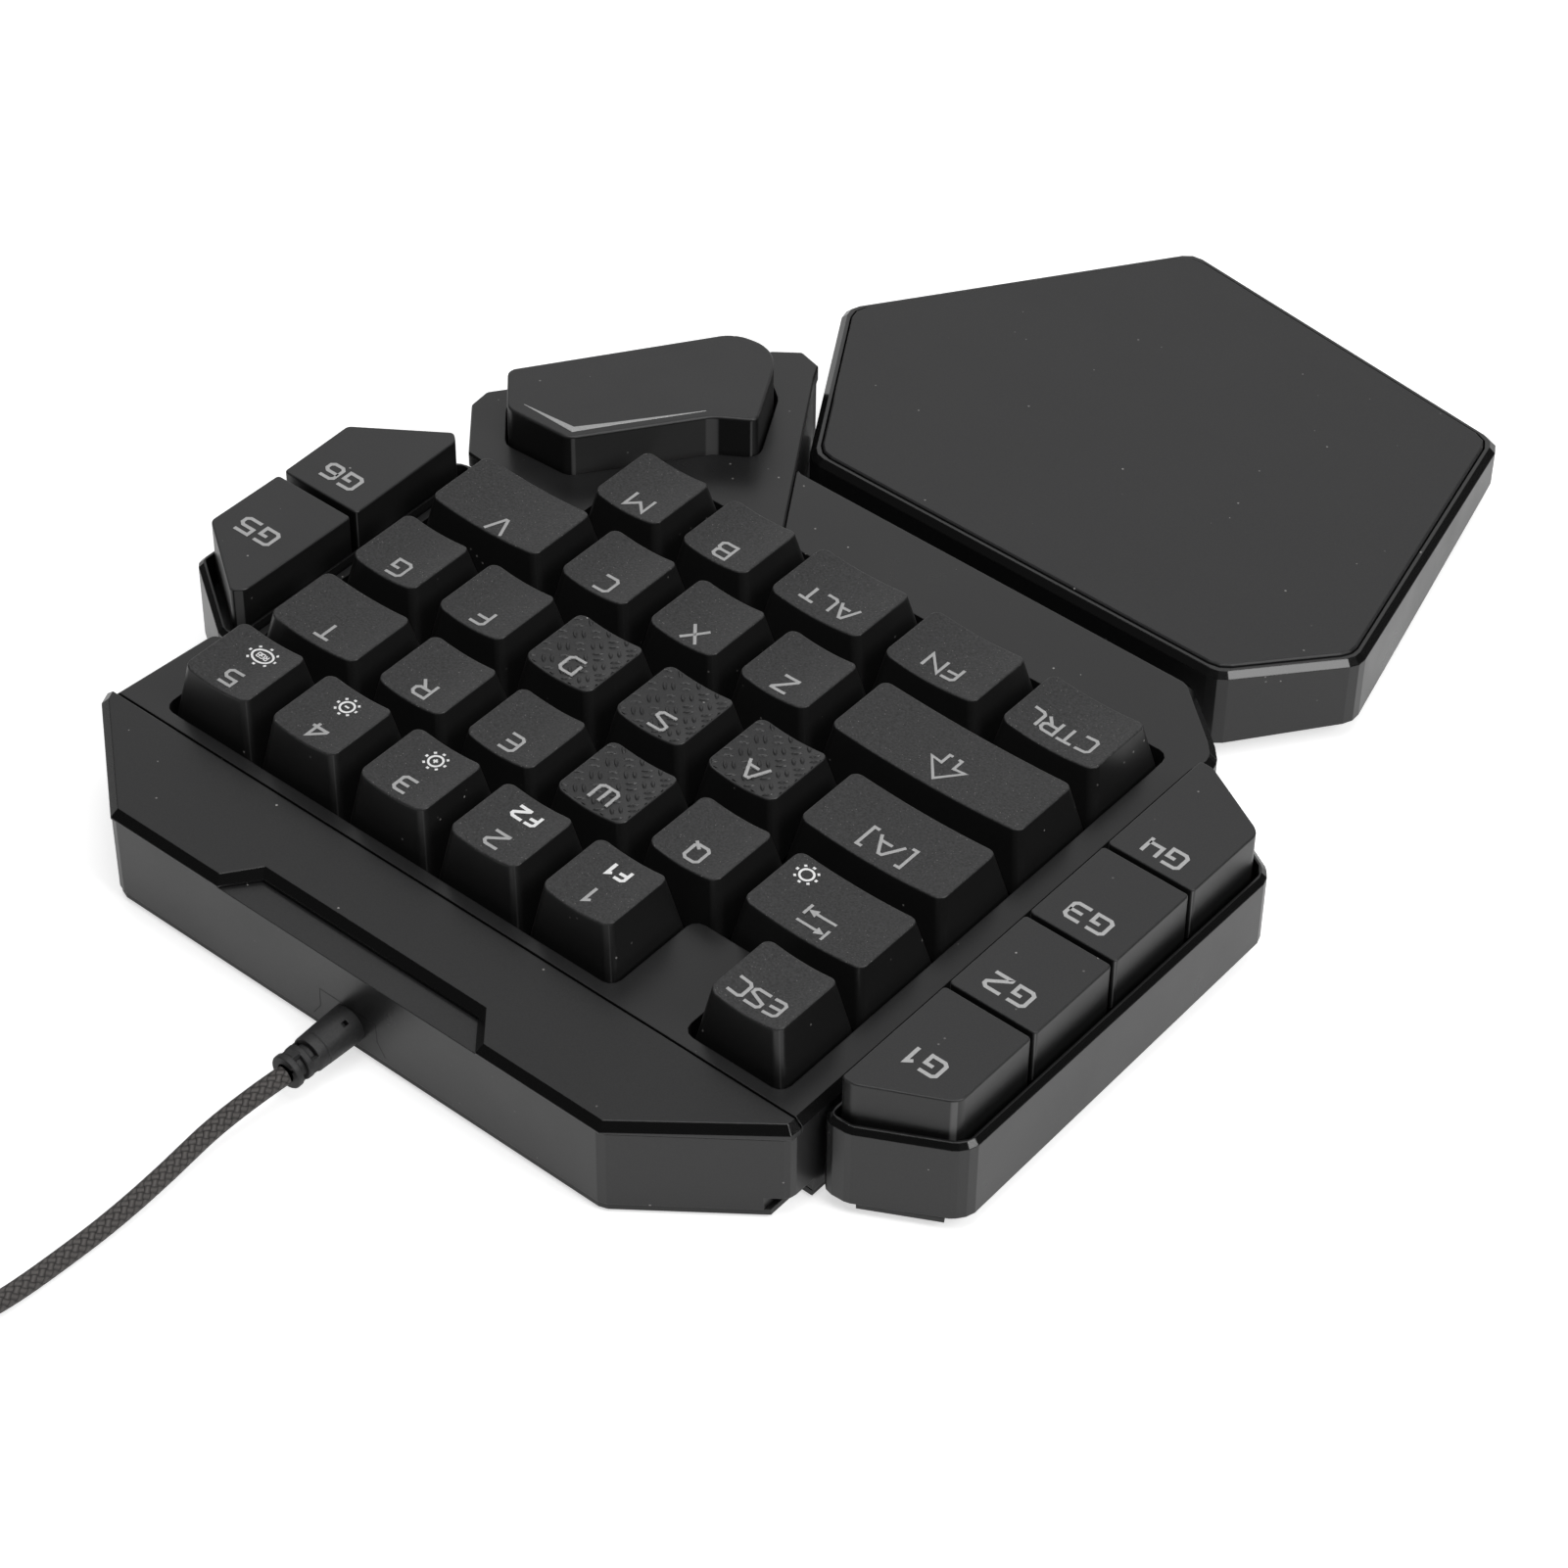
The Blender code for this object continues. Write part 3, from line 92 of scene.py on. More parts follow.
# %% Camera
AZIMUTH, ELEVATION, ROLL = (math.radians(a) for a in (219.391238, 43.5300882, 0.824945715))
DISTANCE = 717.217296 * MM
AIM = Vector((37.6894979 * MM, -35.7865815 * MM, 26.5 * MM))
FOCAL_PIXELS, IMAGE_PIXELS, SENSOR = 4715.20995, 1601, 36

placing = Matrix.Translation(AIM + FIELD_CORNER)
placing @= Matrix.Rotation(AZIMUTH, 4, "Z") @ Matrix.Rotation(math.pi / 2 - ELEVATION, 4, "X")
placing @= Matrix.Translation((0, 0, DISTANCE)) @ Matrix.Rotation(ROLL, 4, "Z")
back = placing.col[2].xyz

lens = bpy.data.cameras.new("photo_camera")
lens.sensor_width = SENSOR
lens.lens = FOCAL_PIXELS / IMAGE_PIXELS * SENSOR
lens.clip_start = 0.01
camera = scene_object("photo_camera", lens)
camera.matrix_world = placing
bpy.context.scene.camera = camera
print("lens", round(lens.lens, 1), "mm, camera", round(DISTANCE, 3), "m from its aim")

# %% [markdown]
# Every piece is made in bmesh and ends as an object at the origin, with its place in its mesh. One
# helper does that last step: it rides the piece on its body, hides the CAD node that it stands for,
# and shades it smooth except over sharp edges. Weighted normals keep flat faces looking flat where
# a small bevel meets them.

# %% Finishing a piece
SHARP_ANGLE = math.radians(38)


def finish_piece(name, shape, materials, body, replaced=()):
    """The bmesh as an object of the scene that moves with a CAD body, if one is named."""
    mesh = bpy.data.meshes.new(name)
    shape.to_mesh(mesh)
    shape.free()
    for material in materials:
        mesh.materials.append(material)
    piece = scene_object(name, mesh)
    mesh.polygons.foreach_set("use_smooth", [True] * len(mesh.polygons))
    mesh.set_sharp_from_angle(angle=SHARP_ANGLE)
    weighted = piece.modifiers.new("even_faces", "WEIGHTED_NORMAL")
    weighted.keep_sharp = True
    if body:
        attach(piece, body)
    if replaced:
        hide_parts(*replaced)
    return piece


def moved(shape, verts, place):
    bmesh.ops.translate(shape, verts=verts, vec=place)


def turned(shape, verts, degrees, axis):
    bmesh.ops.rotate(shape, verts=verts, cent=(0, 0, 0),
                     matrix=Matrix.Rotation(math.radians(degrees), 3, axis))


def sliced(shape, place, normal, clear_outer=False):
    """Cuts the whole shape by a plane, and drops what lies beyond it if that is asked."""
    bmesh.ops.bisect_plane(shape, geom=shape.verts[:] + shape.edges[:] + shape.faces[:],
                           plane_co=place, plane_no=normal, clear_outer=clear_outer)


def closed(shape):
    """Fills every open loop of edges with a face."""
    bmesh.ops.holes_fill(shape, edges=[e for e in shape.edges if e.is_boundary], sides=0)


def rounded(shape, edges, radius, segments):
    bmesh.ops.bevel(shape, geom=list(edges), offset=radius, segments=segments, profile=0.5,
                    affect="EDGES", material=-1)


def upright_edges(shape, height):
    return [e for e in shape.edges if abs(e.verts[0].co.z - e.verts[1].co.z) > height / 2]


def round_rim(shape, height, radius):
    """Rounds the edges round a cap's top."""
    rounded(shape, [e for e in shape.edges if all(v.co.z > height - 0.01 * MM for v in e.verts)],
            radius, 3)


print("pieces are shaded smooth below", round(math.degrees(SHARP_ANGLE)), "degrees")

# %% [markdown]
# Three effects appear on every plastic, so each is a node group that is built once. Moulded grain
# is the fine pebble of textured ABS. The specks are the sparse lint that black plastic shows under
# studio light, and where they are dense and light, on the key tops, they are painted glints of the
# grain. Handling is the faint cloud of skin oil that makes gloss uneven.

# %% Node helpers
def feed(tree, socket, value):
    """Gives an input its value, or links it to the output of another node."""
    if isinstance(value, bpy.types.NodeSocket):
        tree.links.new(value, socket)
    else:
        socket.default_value = value


def place(tree, kind, **settings):
    """A node of that kind, with its settings and its inputs given by name."""
    node = tree.nodes.new(kind)
    for key, value in settings.items():
        if hasattr(node, key):
            setattr(node, key, value)
        else:
            feed(tree, node.inputs[key.replace("_", " ")], value)
    return node


def maths(tree, operation, *values):
    """What a Math node makes of numbers or other nodes' outputs."""
    node = place(tree, "ShaderNodeMath", operation=operation)
    for socket, value in zip(node.inputs, values):
        feed(tree, socket, value)
    return node.outputs[0]


def mixed(tree, kind, factor, *values):
    """A mix of two colours (RGBA) or of two numbers (FLOAT)."""
    first, result = {"FLOAT": (2, 0), "RGBA": (6, 2)}[kind]
    node = place(tree, "ShaderNodeMix", data_type=kind, Factor=factor)
    for socket, value in zip(node.inputs[first:], values):
        feed(tree, socket, value)
    return node.outputs[result]


def ranged(tree, value, low, high, to_low, to_high, **settings):
    """A value that a Map Range node moves from one range to another."""
    return place(tree, "ShaderNodeMapRange", Value=value, From_Min=low, From_Max=high,
                 To_Min=to_low, To_Max=to_high, **settings).outputs["Result"]


def object_place(tree):
    return place(tree, "ShaderNodeTexCoord").outputs["Object"]


def new_group(name, inputs, outputs):
    """A shader group from (name, socket kind, default value), with its inside sockets."""
    group = bpy.data.node_groups.new(name, "ShaderNodeTree")
    for label, kind, value in inputs:
        socket = group.interface.new_socket(label, in_out="INPUT", socket_type=kind)
        socket.default_value = value
    for label, kind in outputs:
        group.interface.new_socket(label, in_out="OUTPUT", socket_type=kind)
    return (group, group.nodes.new("NodeGroupInput").outputs,
            group.nodes.new("NodeGroupOutput").inputs)


FLOAT, VECTOR = "NodeSocketFloat", "NodeSocketVector"
print("group sockets are", FLOAT, "or", VECTOR)

# %% Moulded grain
grain, given, result = new_group(
    "moulded_grain",
    [("Scale", FLOAT, 5200.0), ("Depth", FLOAT, 0.00002), ("Normal", VECTOR, (0, 0, 0))],
    [("Normal", VECTOR), ("Tone", FLOAT)])
pebbles = place(grain, "ShaderNodeTexNoise", Detail=3.0, Roughness=0.6, Scale=given["Scale"],
                Vector=object_place(grain)).outputs["Fac"]
bumped = place(grain, "ShaderNodeBump", Strength=1.0, Height=pebbles, Distance=given["Depth"],
               Normal=given["Normal"])
feed(grain, result["Normal"], bumped.outputs["Normal"])
feed(grain, result["Tone"], ranged(grain, pebbles, 0.3, 0.7, 0.0, 1.0))
print(grain.name, "has", len(grain.nodes), "nodes")

# %% Dust and painted glints
SPECK_RADIUS = 0.13
dust_and_glints, given, result = new_group(
    "dust_and_glint_specks", [("Scale", FLOAT, 700.0), ("Share", FLOAT, 0.06)], [("Mask", FLOAT)])
cells = place(dust_and_glints, "ShaderNodeTexVoronoi", Scale=given["Scale"],
              Vector=object_place(dust_and_glints)).outputs
tone = place(dust_and_glints, "ShaderNodeSeparateColor", Color=cells["Color"]).outputs
speck = maths(dust_and_glints, "MULTIPLY", maths(dust_and_glints, "LESS_THAN", cells["Distance"], SPECK_RADIUS),
              maths(dust_and_glints, "LESS_THAN", tone["Red"], given["Share"]))
feed(dust_and_glints, result["Mask"], maths(dust_and_glints, "MULTIPLY", speck, tone["Green"]))
print(dust_and_glints.name, "has", len(dust_and_glints.nodes), "nodes")

# %% Handling
handling, given, result = new_group(
    "handling_marks", [("Low", FLOAT, 0.4), ("High", FLOAT, 0.5)], [("Roughness", FLOAT)])
clouds = place(handling, "ShaderNodeTexNoise", Detail=4.0, Roughness=0.55, Distortion=0.4,
               Scale=60.0, Vector=object_place(handling)).outputs["Fac"]
feed(handling, result["Roughness"],
     ranged(handling, clouds, 0.3, 0.7, given["Low"], given["High"]))
print(handling.name, "has", len(handling.nodes), "nodes")

# %% [markdown]
# A moulded plastic is one recipe with different numbers: its colour, how rough it is, how deep its
# grain is, how many specks of dust and painted glints it holds and how wide its edges are rounded.
# The Bevel node softens the edges of the CAD parts, whose meshes stay as they came, so a thin
# highlight runs along them.

# %% Moulded plastics
def new_material(name):
    """A material, its node tree and the inputs of its shader."""
    material = bpy.data.materials.new(name)
    material.use_nodes = True
    tree = material.node_tree
    return material, tree, tree.nodes["Principled BSDF"].inputs


def plastic(name, colour, rough, grain_scale, grain_depth, edge=0.25 * MM, dust_and_glint_share=0.05,
            speckle=0.12, cloud=0.04, dust_and_glint_scale=700.0, dust_and_glint_tone=0.35, metallic=0.0):
    """A Principled material with grain, dust, painted glints, uneven gloss and softened edges."""
    material, tree, shader = new_material(name)
    shader["Metallic"].default_value = metallic
    soft_edge = place(tree, "ShaderNodeBevel", samples=6, Radius=edge).outputs["Normal"]
    texture = place(tree, "ShaderNodeGroup", node_tree=grain, Scale=grain_scale,
                    Depth=grain_depth, Normal=soft_edge).outputs
    marks = place(tree, "ShaderNodeGroup", node_tree=handling, Low=rough - cloud,
                  High=rough + cloud).outputs
    dust_and_glint_marks = place(tree, "ShaderNodeGroup", node_tree=dust_and_glints, Share=dust_and_glint_share,
                 Scale=dust_and_glint_scale).outputs
    darker = (*(c * (1 - 2 * speckle) for c in colour), 1)
    lighter = (*(c * (1 + 2 * speckle) + 0.002 for c in colour), 1)
    speckled = mixed(tree, "RGBA", texture["Tone"], darker, lighter)
    dust_and_glint_colour = (dust_and_glint_tone, dust_and_glint_tone * 0.97, dust_and_glint_tone * 0.95, 1)
    feed(tree, shader["Normal"], texture["Normal"])
    feed(tree, shader["Roughness"], marks["Roughness"])
    feed(tree, shader["Base Color"], mixed(tree, "RGBA", dust_and_glint_marks["Mask"], speckled, dust_and_glint_colour))
    return material


case_plastic = plastic("case_satin", (0.0125, 0.0125, 0.0128), 0.31, 4200, 0.003 * MM)
# The key tops' specks are dense and light: painted glints of their grain.
key_top = plastic("key_top_grain", (0.0195, 0.0195, 0.020), 0.48, 2600, 0.05 * MM, speckle=0.35,
                  dust_and_glint_share=0.8, dust_and_glint_scale=1700.0, dust_and_glint_tone=0.2)
key_side = plastic("key_side_satin", (0.012, 0.012, 0.012), 0.34, 5200, 0.003 * MM)
macro_top = plastic("macro_key_satin", (0.017, 0.017, 0.0175), 0.40, 4200, 0.004 * MM)
pad_skin = plastic("palm_pad_matte", (0.012, 0.012, 0.0125), 0.50, 3800, 0.008 * MM,
                   dust_and_glint_share=0.02, cloud=0.008)
boot_rubber = plastic("boot_rubber", (0.020, 0.020, 0.0205), 0.52, 2600, 0.010 * MM)
dark_plastic = plastic("inner_plastic", (0.010, 0.010, 0.010), 0.45, 3600, 0.004 * MM)
print("plastics:", [m.name for m in bpy.data.materials if m.use_nodes and m.users == 0])

# %% [markdown]
# The legends are drawn with strokes: each letter is one or more lines on a small grid, and a line
# becomes a flat ribbon by extruding one short edge along it. The plain squared letters are generic
# key legends. A laser burns them through dark paint, so they look flat and grey, while the second
# functions are printed white.

# %% Letters and digits as strokes, in hundredths of their height
STROKES = {
    "1": [[(6, 78), (30, 100), (30, 0)]],
    "2": [[(0, 100), (66, 100), (80, 86), (80, 70), (4, 6), (4, 0), (82, 0)]],
    "3": [[(0, 100), (58, 100), (72, 86), (72, 14), (58, 0), (0, 0)], [(14, 50), (72, 50)]],
    "4": [[(62, -2), (62, 100), (0, 34), (0, 26), (84, 26)]],
    "5": [[(76, 100), (4, 100), (4, 56), (62, 56), (76, 42), (76, 14), (62, 0), (0, 0)]],
    "6": [[(68, 100), (14, 100), (0, 86), (0, 14), (14, 0), (56, 0), (70, 14), (70, 42), (56, 56),
          (0, 56)]],
    "A": [[(0, 0), (44, 100), (58, 100), (102, 0)], [(40, 30), (88, 30)]],
    "B": [[(54, 52), (66, 62), (66, 90), (54, 100), (0, 100), (0, 0), (56, 0), (70, 12), (70, 40),
          (56, 52), (0, 52)]],
    "C": [[(70, 100), (14, 100), (0, 86), (0, 14), (14, 0), (70, 0)]],
    "D": [[(0, 30), (0, 100), (56, 100), (72, 84), (72, 16), (56, 0), (0, 0)]],
    "E": [[(68, 100), (14, 100), (0, 86), (0, 14), (14, 0), (68, 0)], [(0, 50), (62, 50)]],
    "F": [[(66, 100), (14, 100), (0, 86), (0, 0)], [(0, 50), (58, 50)]],
    "G": [[(72, 100), (14, 100), (0, 86), (0, 14), (14, 0), (72, 0), (72, 52), (36, 52)]],
    "L": [[(0, 100), (0, 14), (14, 0), (62, 0)]],
    "M": [[(0, 0), (0, 100), (48, 46), (96, 100), (96, 0)]],
    "N": [[(0, 0), (0, 100), (84, 0), (84, 100)]],
    "Q": [[(40, 0), (14, 0), (0, 14), (0, 86), (14, 100), (56, 100), (70, 86), (70, 14), (56, 0),
          (40, 0)], [(42, 24), (78, -10)]],
    "R": [[(0, 0), (0, 100), (56, 100), (70, 86), (70, 62), (56, 48), (0, 48)], [(34, 48),
          (72, 0)]],
    "S": [[(76, 100), (14, 100), (2, 88), (2, 66), (76, 34), (76, 12), (64, 0), (0, 0)]],
    "T": [[(0, 100), (76, 100)], [(38, 100), (38, 0)]],
    "Y": [[(0, 100), (0, 30), (62, 30)], [(62, 100), (62, 0)]],
    "V": [[(0, 104), (38, -2), (48, -2), (86, 104)]],
    "W": [[(0, 100), (0, 14), (14, 0), (76, 0), (90, 14), (90, 100)], [(45, 0), (45, 92)]],
    "X": [[(0, 105), (80, -5)], [(80, 105), (0, -5)]],
    "Z": [[(0, 100), (70, 100), (70, 94), (0, 6), (0, 0), (70, 0)]],
    "[": [[(22, 114), (0, 114), (0, -14), (22, -14)]],
    "]": [[(0, 114), (22, 114), (22, -14), (0, -14)]],
    "+": [[(10, 50), (90, 50)], [(50, 10), (50, 90)]],
    "-": [[(10, 50), (90, 50)]],
}
OPEN_FOUR = "Y"  # the 4 of the macro keys, which is open like a Y
LETTER_GAP = 0.24
print(len(STROKES), "signs drawn as", sum(len(lines) for lines in STROKES.values()), "strokes")

# %% From strokes to ribbons
MITRE_LIMIT, LEAST_TURN = 2.2, 0.3


def letter_lines(text, height, middle, slim=1.0, gap=LETTER_GAP):
    """The strokes of a word in metres, centred on a place."""
    lines, at = [], 0.0
    for sign in text:
        strokes = [[(x / 100, y / 100) for x, y in stroke] for stroke in STROKES[sign]]
        lines += [[(at + x * slim, y) for x, y in stroke] for stroke in strokes]
        at += max(x for stroke in strokes for x, _ in stroke) * slim + gap
    width = at - gap
    return [[(middle[0] + (x - width / 2) * height, middle[1] + (y - 0.5) * height)
             for x, y in line] for line in lines]


def ring_line(middle, radius_x, radius_y, sides=20):
    angles = [2 * math.pi * i / sides for i in range(sides + 1)]
    return [(middle[0] + radius_x * math.cos(a), middle[1] + radius_y * math.sin(a))
            for a in angles]


def ribbon(shape, line, widths, height):
    """Extrudes one short edge along a line. Corners are mitred, and a width may vary."""
    points = [Vector(p) for p in line]
    looped = (points[0] - points[-1]).length < 1e-7
    heads = [(b - a).normalized() for a, b in zip(points, points[1:])]
    edge = None
    for i, point in enumerate(points):
        before = heads[i - 1] if i else (heads[-1] if looped else heads[0])
        after = heads[i] if i < len(heads) else (heads[0] if looped else heads[-1])
        side = Vector((-(before + after).y, (before + after).x)).normalized()
        stretch = min(MITRE_LIMIT, 1 / max(LEAST_TURN, side.dot(Vector((-after.y, after.x)))))
        half = widths[i] / 2 * stretch
        ends = [(*(point + side * half), height), (*(point - side * half), height)]
        if edge is None:
            verts = [shape.verts.new(end) for end in ends]
            edge = shape.edges.new(verts)
            continue
        made = bmesh.ops.extrude_edge_only(shape, edges=[edge])["geom"]
        edge = next(e for e in made if isinstance(e, bmesh.types.BMEdge)
                    and all(v in made for v in e.verts))
        start = verts[0].co
        verts = sorted(edge.verts, key=lambda v: (v.co - start).length)
        for vert, end in zip(verts, ends):
            vert.co = end


def drawing(lines, width, height=0.0):
    """A flat bmesh of ribbons, all of one width, or of a list of widths along each line."""
    shape = bmesh.new()
    for line in lines:
        widths = [width] * len(line) if isinstance(width, (int, float)) else width
        ribbon(shape, line, widths, height)
    bmesh.ops.recalc_face_normals(shape, faces=shape.faces)
    bmesh.ops.reverse_faces(shape, faces=[f for f in shape.faces if f.normal.z < 0])
    return shape


print("a ribbon's corners are mitred up to", MITRE_LIMIT, "times its width")

# %% [markdown]
# The case is satin on its decks and walls, but its chamfers are polished, like a tool that was
# buffed along its edges. The chamfers are the only faces that lean about 45 degrees, so the
# material finds them by the true normal and makes them glossy there. It also darkens their colour
# there, as painted shade for the dark studio that they reflect.

# %% Polished chamfers with painted shade, and painted highlights on cap corners
CHAMFER_SPREAD, CORNER_HIGHLIGHT_BAND = 0.16, (0.465, 0.495)


def overlay(material, mask, label, kind, value):
    """Mixes another value into a shader's linked input, where a mask asks for it."""
    tree = material.node_tree
    socket = tree.nodes["Principled BSDF"].inputs[label]
    feed(tree, socket, mixed(tree, kind, mask, socket.links[0].from_socket, value))


def facing(tree, which):
    """The three parts of a face's or a point's normal."""
    normal = place(tree, "ShaderNodeNewGeometry").outputs[which]
    return place(tree, "ShaderNodeSeparateXYZ", Vector=normal).outputs


def gloss_and_shade_chamfers(material, rough, colour):
    """Makes a plastic glossy, and darker as painted shade, where a face leans between deck and wall.
    """
    tree = material.node_tree
    lean = maths(tree, "SUBTRACT", facing(tree, "True Normal")["Z"], math.sin(math.pi / 4))
    band = maths(tree, "LESS_THAN", maths(tree, "ABSOLUTE", lean), CHAMFER_SPREAD)
    overlay(material, band, "Roughness", "FLOAT", rough)
    overlay(material, band, "Base Color", "RGBA", (*colour, 1))


def paint_corner_highlight(material, colour):
    """Lightens the middle of a cap's rounded upright edges with a painted highlight."""
    tree = material.node_tree
    parts = facing(tree, "Normal")
    both = maths(tree, "MULTIPLY", maths(tree, "ABSOLUTE", parts["X"]),
                 maths(tree, "ABSOLUTE", parts["Y"]))
    # The mask of the painted highlight, strongest midway round each rounded corner.
    line = ranged(tree, both, *CORNER_HIGHLIGHT_BAND, 0.0, 1.0, interpolation_type="SMOOTHSTEP")
    overlay(material, line, "Base Color", "RGBA", (*colour, 1))


# The chamfers are glossy, and their colour is darkened as painted shade.
gloss_and_shade_chamfers(case_plastic, 0.14, (0.004, 0.004, 0.004))
# Keycap sides get a painted highlight down the middle of their rounded upright edges.
paint_corner_highlight(key_side, (0.11, 0.11, 0.11))
print("polished:", case_plastic.name, key_side.name)

# %% [markdown]
# The case and the palm rest have plain shapes, so they keep the CAD's own meshes and only get a
# finish. It goes into the slots of each object, and so the mesh itself stays as it came.

# %% Finishes of the case
def dress(material, *names):
    """Gives CAD nodes that keep their shape a finish, in their objects' own slots."""
    for name in names:
        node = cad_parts[name]
        for slot in node.material_slots:
            slot.link = "OBJECT"
            slot.material = material


dress(case_plastic, "top_cover", "rear_panel", "thumb_bezel", "left_macro_tray",
      "right_macro_tray", "palm_rest_body")
dress(pad_skin, "palm_rest_pad")
dress(dark_plastic, "base_plate", "palm_rest_base", "palm_rest_bridge")
print("case nodes dressed:", case_plastic.name, pad_skin.name, dark_plastic.name)

# %% [markdown]
# The grey ink is the cap's own translucent plastic where the laser burned the paint away, and the
# white is a pad print. Both are nearly matte and hold a little grain. The thumb key has silver.

# %% Legend inks
laser_grey = plastic("laser_legend", (0.41, 0.41, 0.41), 0.55, 6000, 0.002 * MM, speckle=0.05)
macro_grey = plastic("macro_legend", (0.44, 0.44, 0.44), 0.50, 6000, 0.002 * MM, speckle=0.05)
white_print = plastic("white_print", (0.86, 0.86, 0.86), 0.50, 6000, 0.001 * MM, speckle=0.02)
silver_paint = plastic("silver_paint", (0.42, 0.42, 0.42), 0.32, 5200, 0.002 * MM, speckle=0.08,
                       metallic=0.7)
print("inks:", laser_grey.name, macro_grey.name, white_print.name, silver_paint.name)

# %% Round shapes
def lathe(profile, sides):
    """A closed skin over rings about Z, at each radius and height of a profile in millimetres."""
    shape, loops = bmesh.new(), []
    for radius, height in profile:
        ring = bmesh.ops.create_circle(shape, segments=sides, radius=radius * MM)["verts"]
        moved(shape, ring, (0, 0, height * MM))
        loops.append({e for v in ring for e in v.link_edges})
    for near, here in zip(loops, loops[1:]):
        bmesh.ops.bridge_loops(shape, edges=list(near | here))
    closed(shape)
    bmesh.ops.recalc_face_normals(shape, faces=shape.faces)
    return shape


print("round shapes are skins over rings")

# %% [markdown]
# A keycap is a moulded shell. It narrows upwards, its upright edges are rounded, and its top is
# dished like part of a cylinder, so the front and rear edges of the top curve too. The shape
# starts as a cube. The cavity comes from the bottom face by inset and extrude, the rims are
# bevelled, and vertical cuts give the dish its curve.

# %% Keycap shell
CAP_CORNER, CAP_RIM, CAP_WALL, CAP_ROOF = 1.55 * MM, 0.28 * MM, 1.2 * MM, 1.6 * MM
PLUNGER_RADIUS, PLUNGER_FOOT = 2.45 * MM, -6.2 * MM
DISH_CUTS, CAVITY_SHARE = 12, 0.82


def hollow_out(shape, roof):
    """Sinks a cavity into the lowest face and stands the plunger in it."""
    shape.faces.ensure_lookup_table()
    floor = min(shape.faces, key=lambda f: f.calc_center_median().z)
    bmesh.ops.inset_region(shape, faces=[floor], thickness=CAP_WALL, use_even_offset=True)
    made = bmesh.ops.extrude_discrete_faces(shape, faces=[floor])["faces"][0]
    moved(shape, made.verts, (0, 0, roof))
    middle = made.calc_center_median()
    bmesh.ops.scale(shape, vec=(CAVITY_SHARE, CAVITY_SHARE, 1), verts=made.verts,
                    space=Matrix.Translation(-middle))
    post = bmesh.ops.create_cone(shape, cap_ends=True, segments=20, radius1=PLUNGER_RADIUS,
                                 radius2=PLUNGER_RADIUS, depth=roof - PLUNGER_FOOT)["verts"]
    moved(shape, post, (0, 0, (roof + PLUNGER_FOOT) / 2 + CAP_RIM))


def cap_shell(width, depth, height):
    """A keycap without its dish, standing on z = 0 about its plunger."""
    shape = bmesh.new()
    bmesh.ops.create_cube(shape, size=1)
    bmesh.ops.scale(shape, vec=(width, depth, height), verts=shape.verts)
    moved(shape, shape.verts, (0, 0, height / 2))
    for vert in shape.verts:
        if vert.co.z > height / 2:
            vert.co.x -= math.copysign(TAPERS["side"], vert.co.x)
            vert.co.y -= TAPERS["rear"] if vert.co.y > 0 else -TAPERS["front"]
    rounded(shape, upright_edges(shape, height), CAP_CORNER, 6)
    hollow_out(shape, height - DISH_DEPTH - CAP_ROOF)
    round_rim(shape, height, CAP_RIM)
    return shape


def dish_drop(x, half_width):
    return DISH_DEPTH * max(0.0, 1 - (x / half_width) ** 2)


def cut_strips(shape, half_width):
    """Vertical cuts across X, so that what lies between them can follow a curve."""
    for i in range(1, DISH_CUTS):
        sliced(shape, (half_width * (2 * i / DISH_CUTS - 1), 0, 0), (1, 0, 0))


def dish_cap(shape, half_width, half_depth, height):
    """Lowers the top along a cylinder, and lets the front and rear walls follow their slope."""
    cut_strips(shape, half_width)
    slope = TAPERS["rear"] / height
    for vert in shape.verts:
        if vert.co.z > height - 1.2 * CAP_RIM:
            drop = dish_drop(vert.co.x, half_width)
            vert.co.y += drop * slope * vert.co.y / half_depth
            vert.co.z -= drop


print("a keycap has", DISH_CUTS, "strips across its dish")

# %% [markdown]
# A legend is drawn flat, cut by the same vertical planes as its cap, given a thickness and laid on
# the dish. It stands 0.02 mm proud, as ink does, and its underside is inside the cap. On a key with
# a tread it is lifted over the tread. A cap's slots hold its side, its top and its inks.

# %% Legends on caps
TOP, GREY, WHITE = 1, 2, 3
INK_LIFT, INK_DEPTH = 0.02 * MM, 0.2 * MM
LEGEND_STROKE, LEGEND_WIDENING, FINE_STROKE = 0.56 * MM, 1.14, 0.5 * MM
LAMP_STROKE, RAYS, RAY_GAP, RAY_LENGTH = 0.38 * MM, 8, 0.48 * MM, 0.42 * MM
ARROW_HEAD = [0.12 * MM, 1.6 * MM]
TOP_FACING = 0.6


def paint_top(shape, above):
    """Gives the faces that look up, over a height, the slot of the cap's top."""
    for face in shape.faces:
        if face.normal.z > TOP_FACING and face.calc_center_median().z > above:
            face.material_index = TOP


def add_to_cap(cap, sheet, surface, index):
    """Adds a bmesh that lies about z = 0 to a cap's, over the height of the cap's top."""
    for vert in sheet.verts:
        vert.co.z += surface(vert.co.x)
    bmesh.ops.recalc_face_normals(sheet, faces=sheet.faces)
    extra = bpy.data.meshes.new("extra")
    sheet.to_mesh(extra)
    sheet.free()
    own = set(cap.faces)
    cap.from_mesh(extra)
    for face in cap.faces:
        if face not in own:
            face.material_index = index
    bpy.data.meshes.remove(extra)


def lay_drawing(cap, sheet, surface, index, half_width=None, lift=INK_LIFT):
    """Adds a flat drawing to a cap's bmesh as thin ink that follows the cap's top."""
    if half_width:
        cut_strips(sheet, half_width)
    bmesh.ops.solidify(sheet, geom=sheet.faces[:], thickness=INK_DEPTH)
    moved(sheet, sheet.verts, (0, 0, lift - max(v.co.z for v in sheet.verts)))
    add_to_cap(cap, sheet, surface, index)


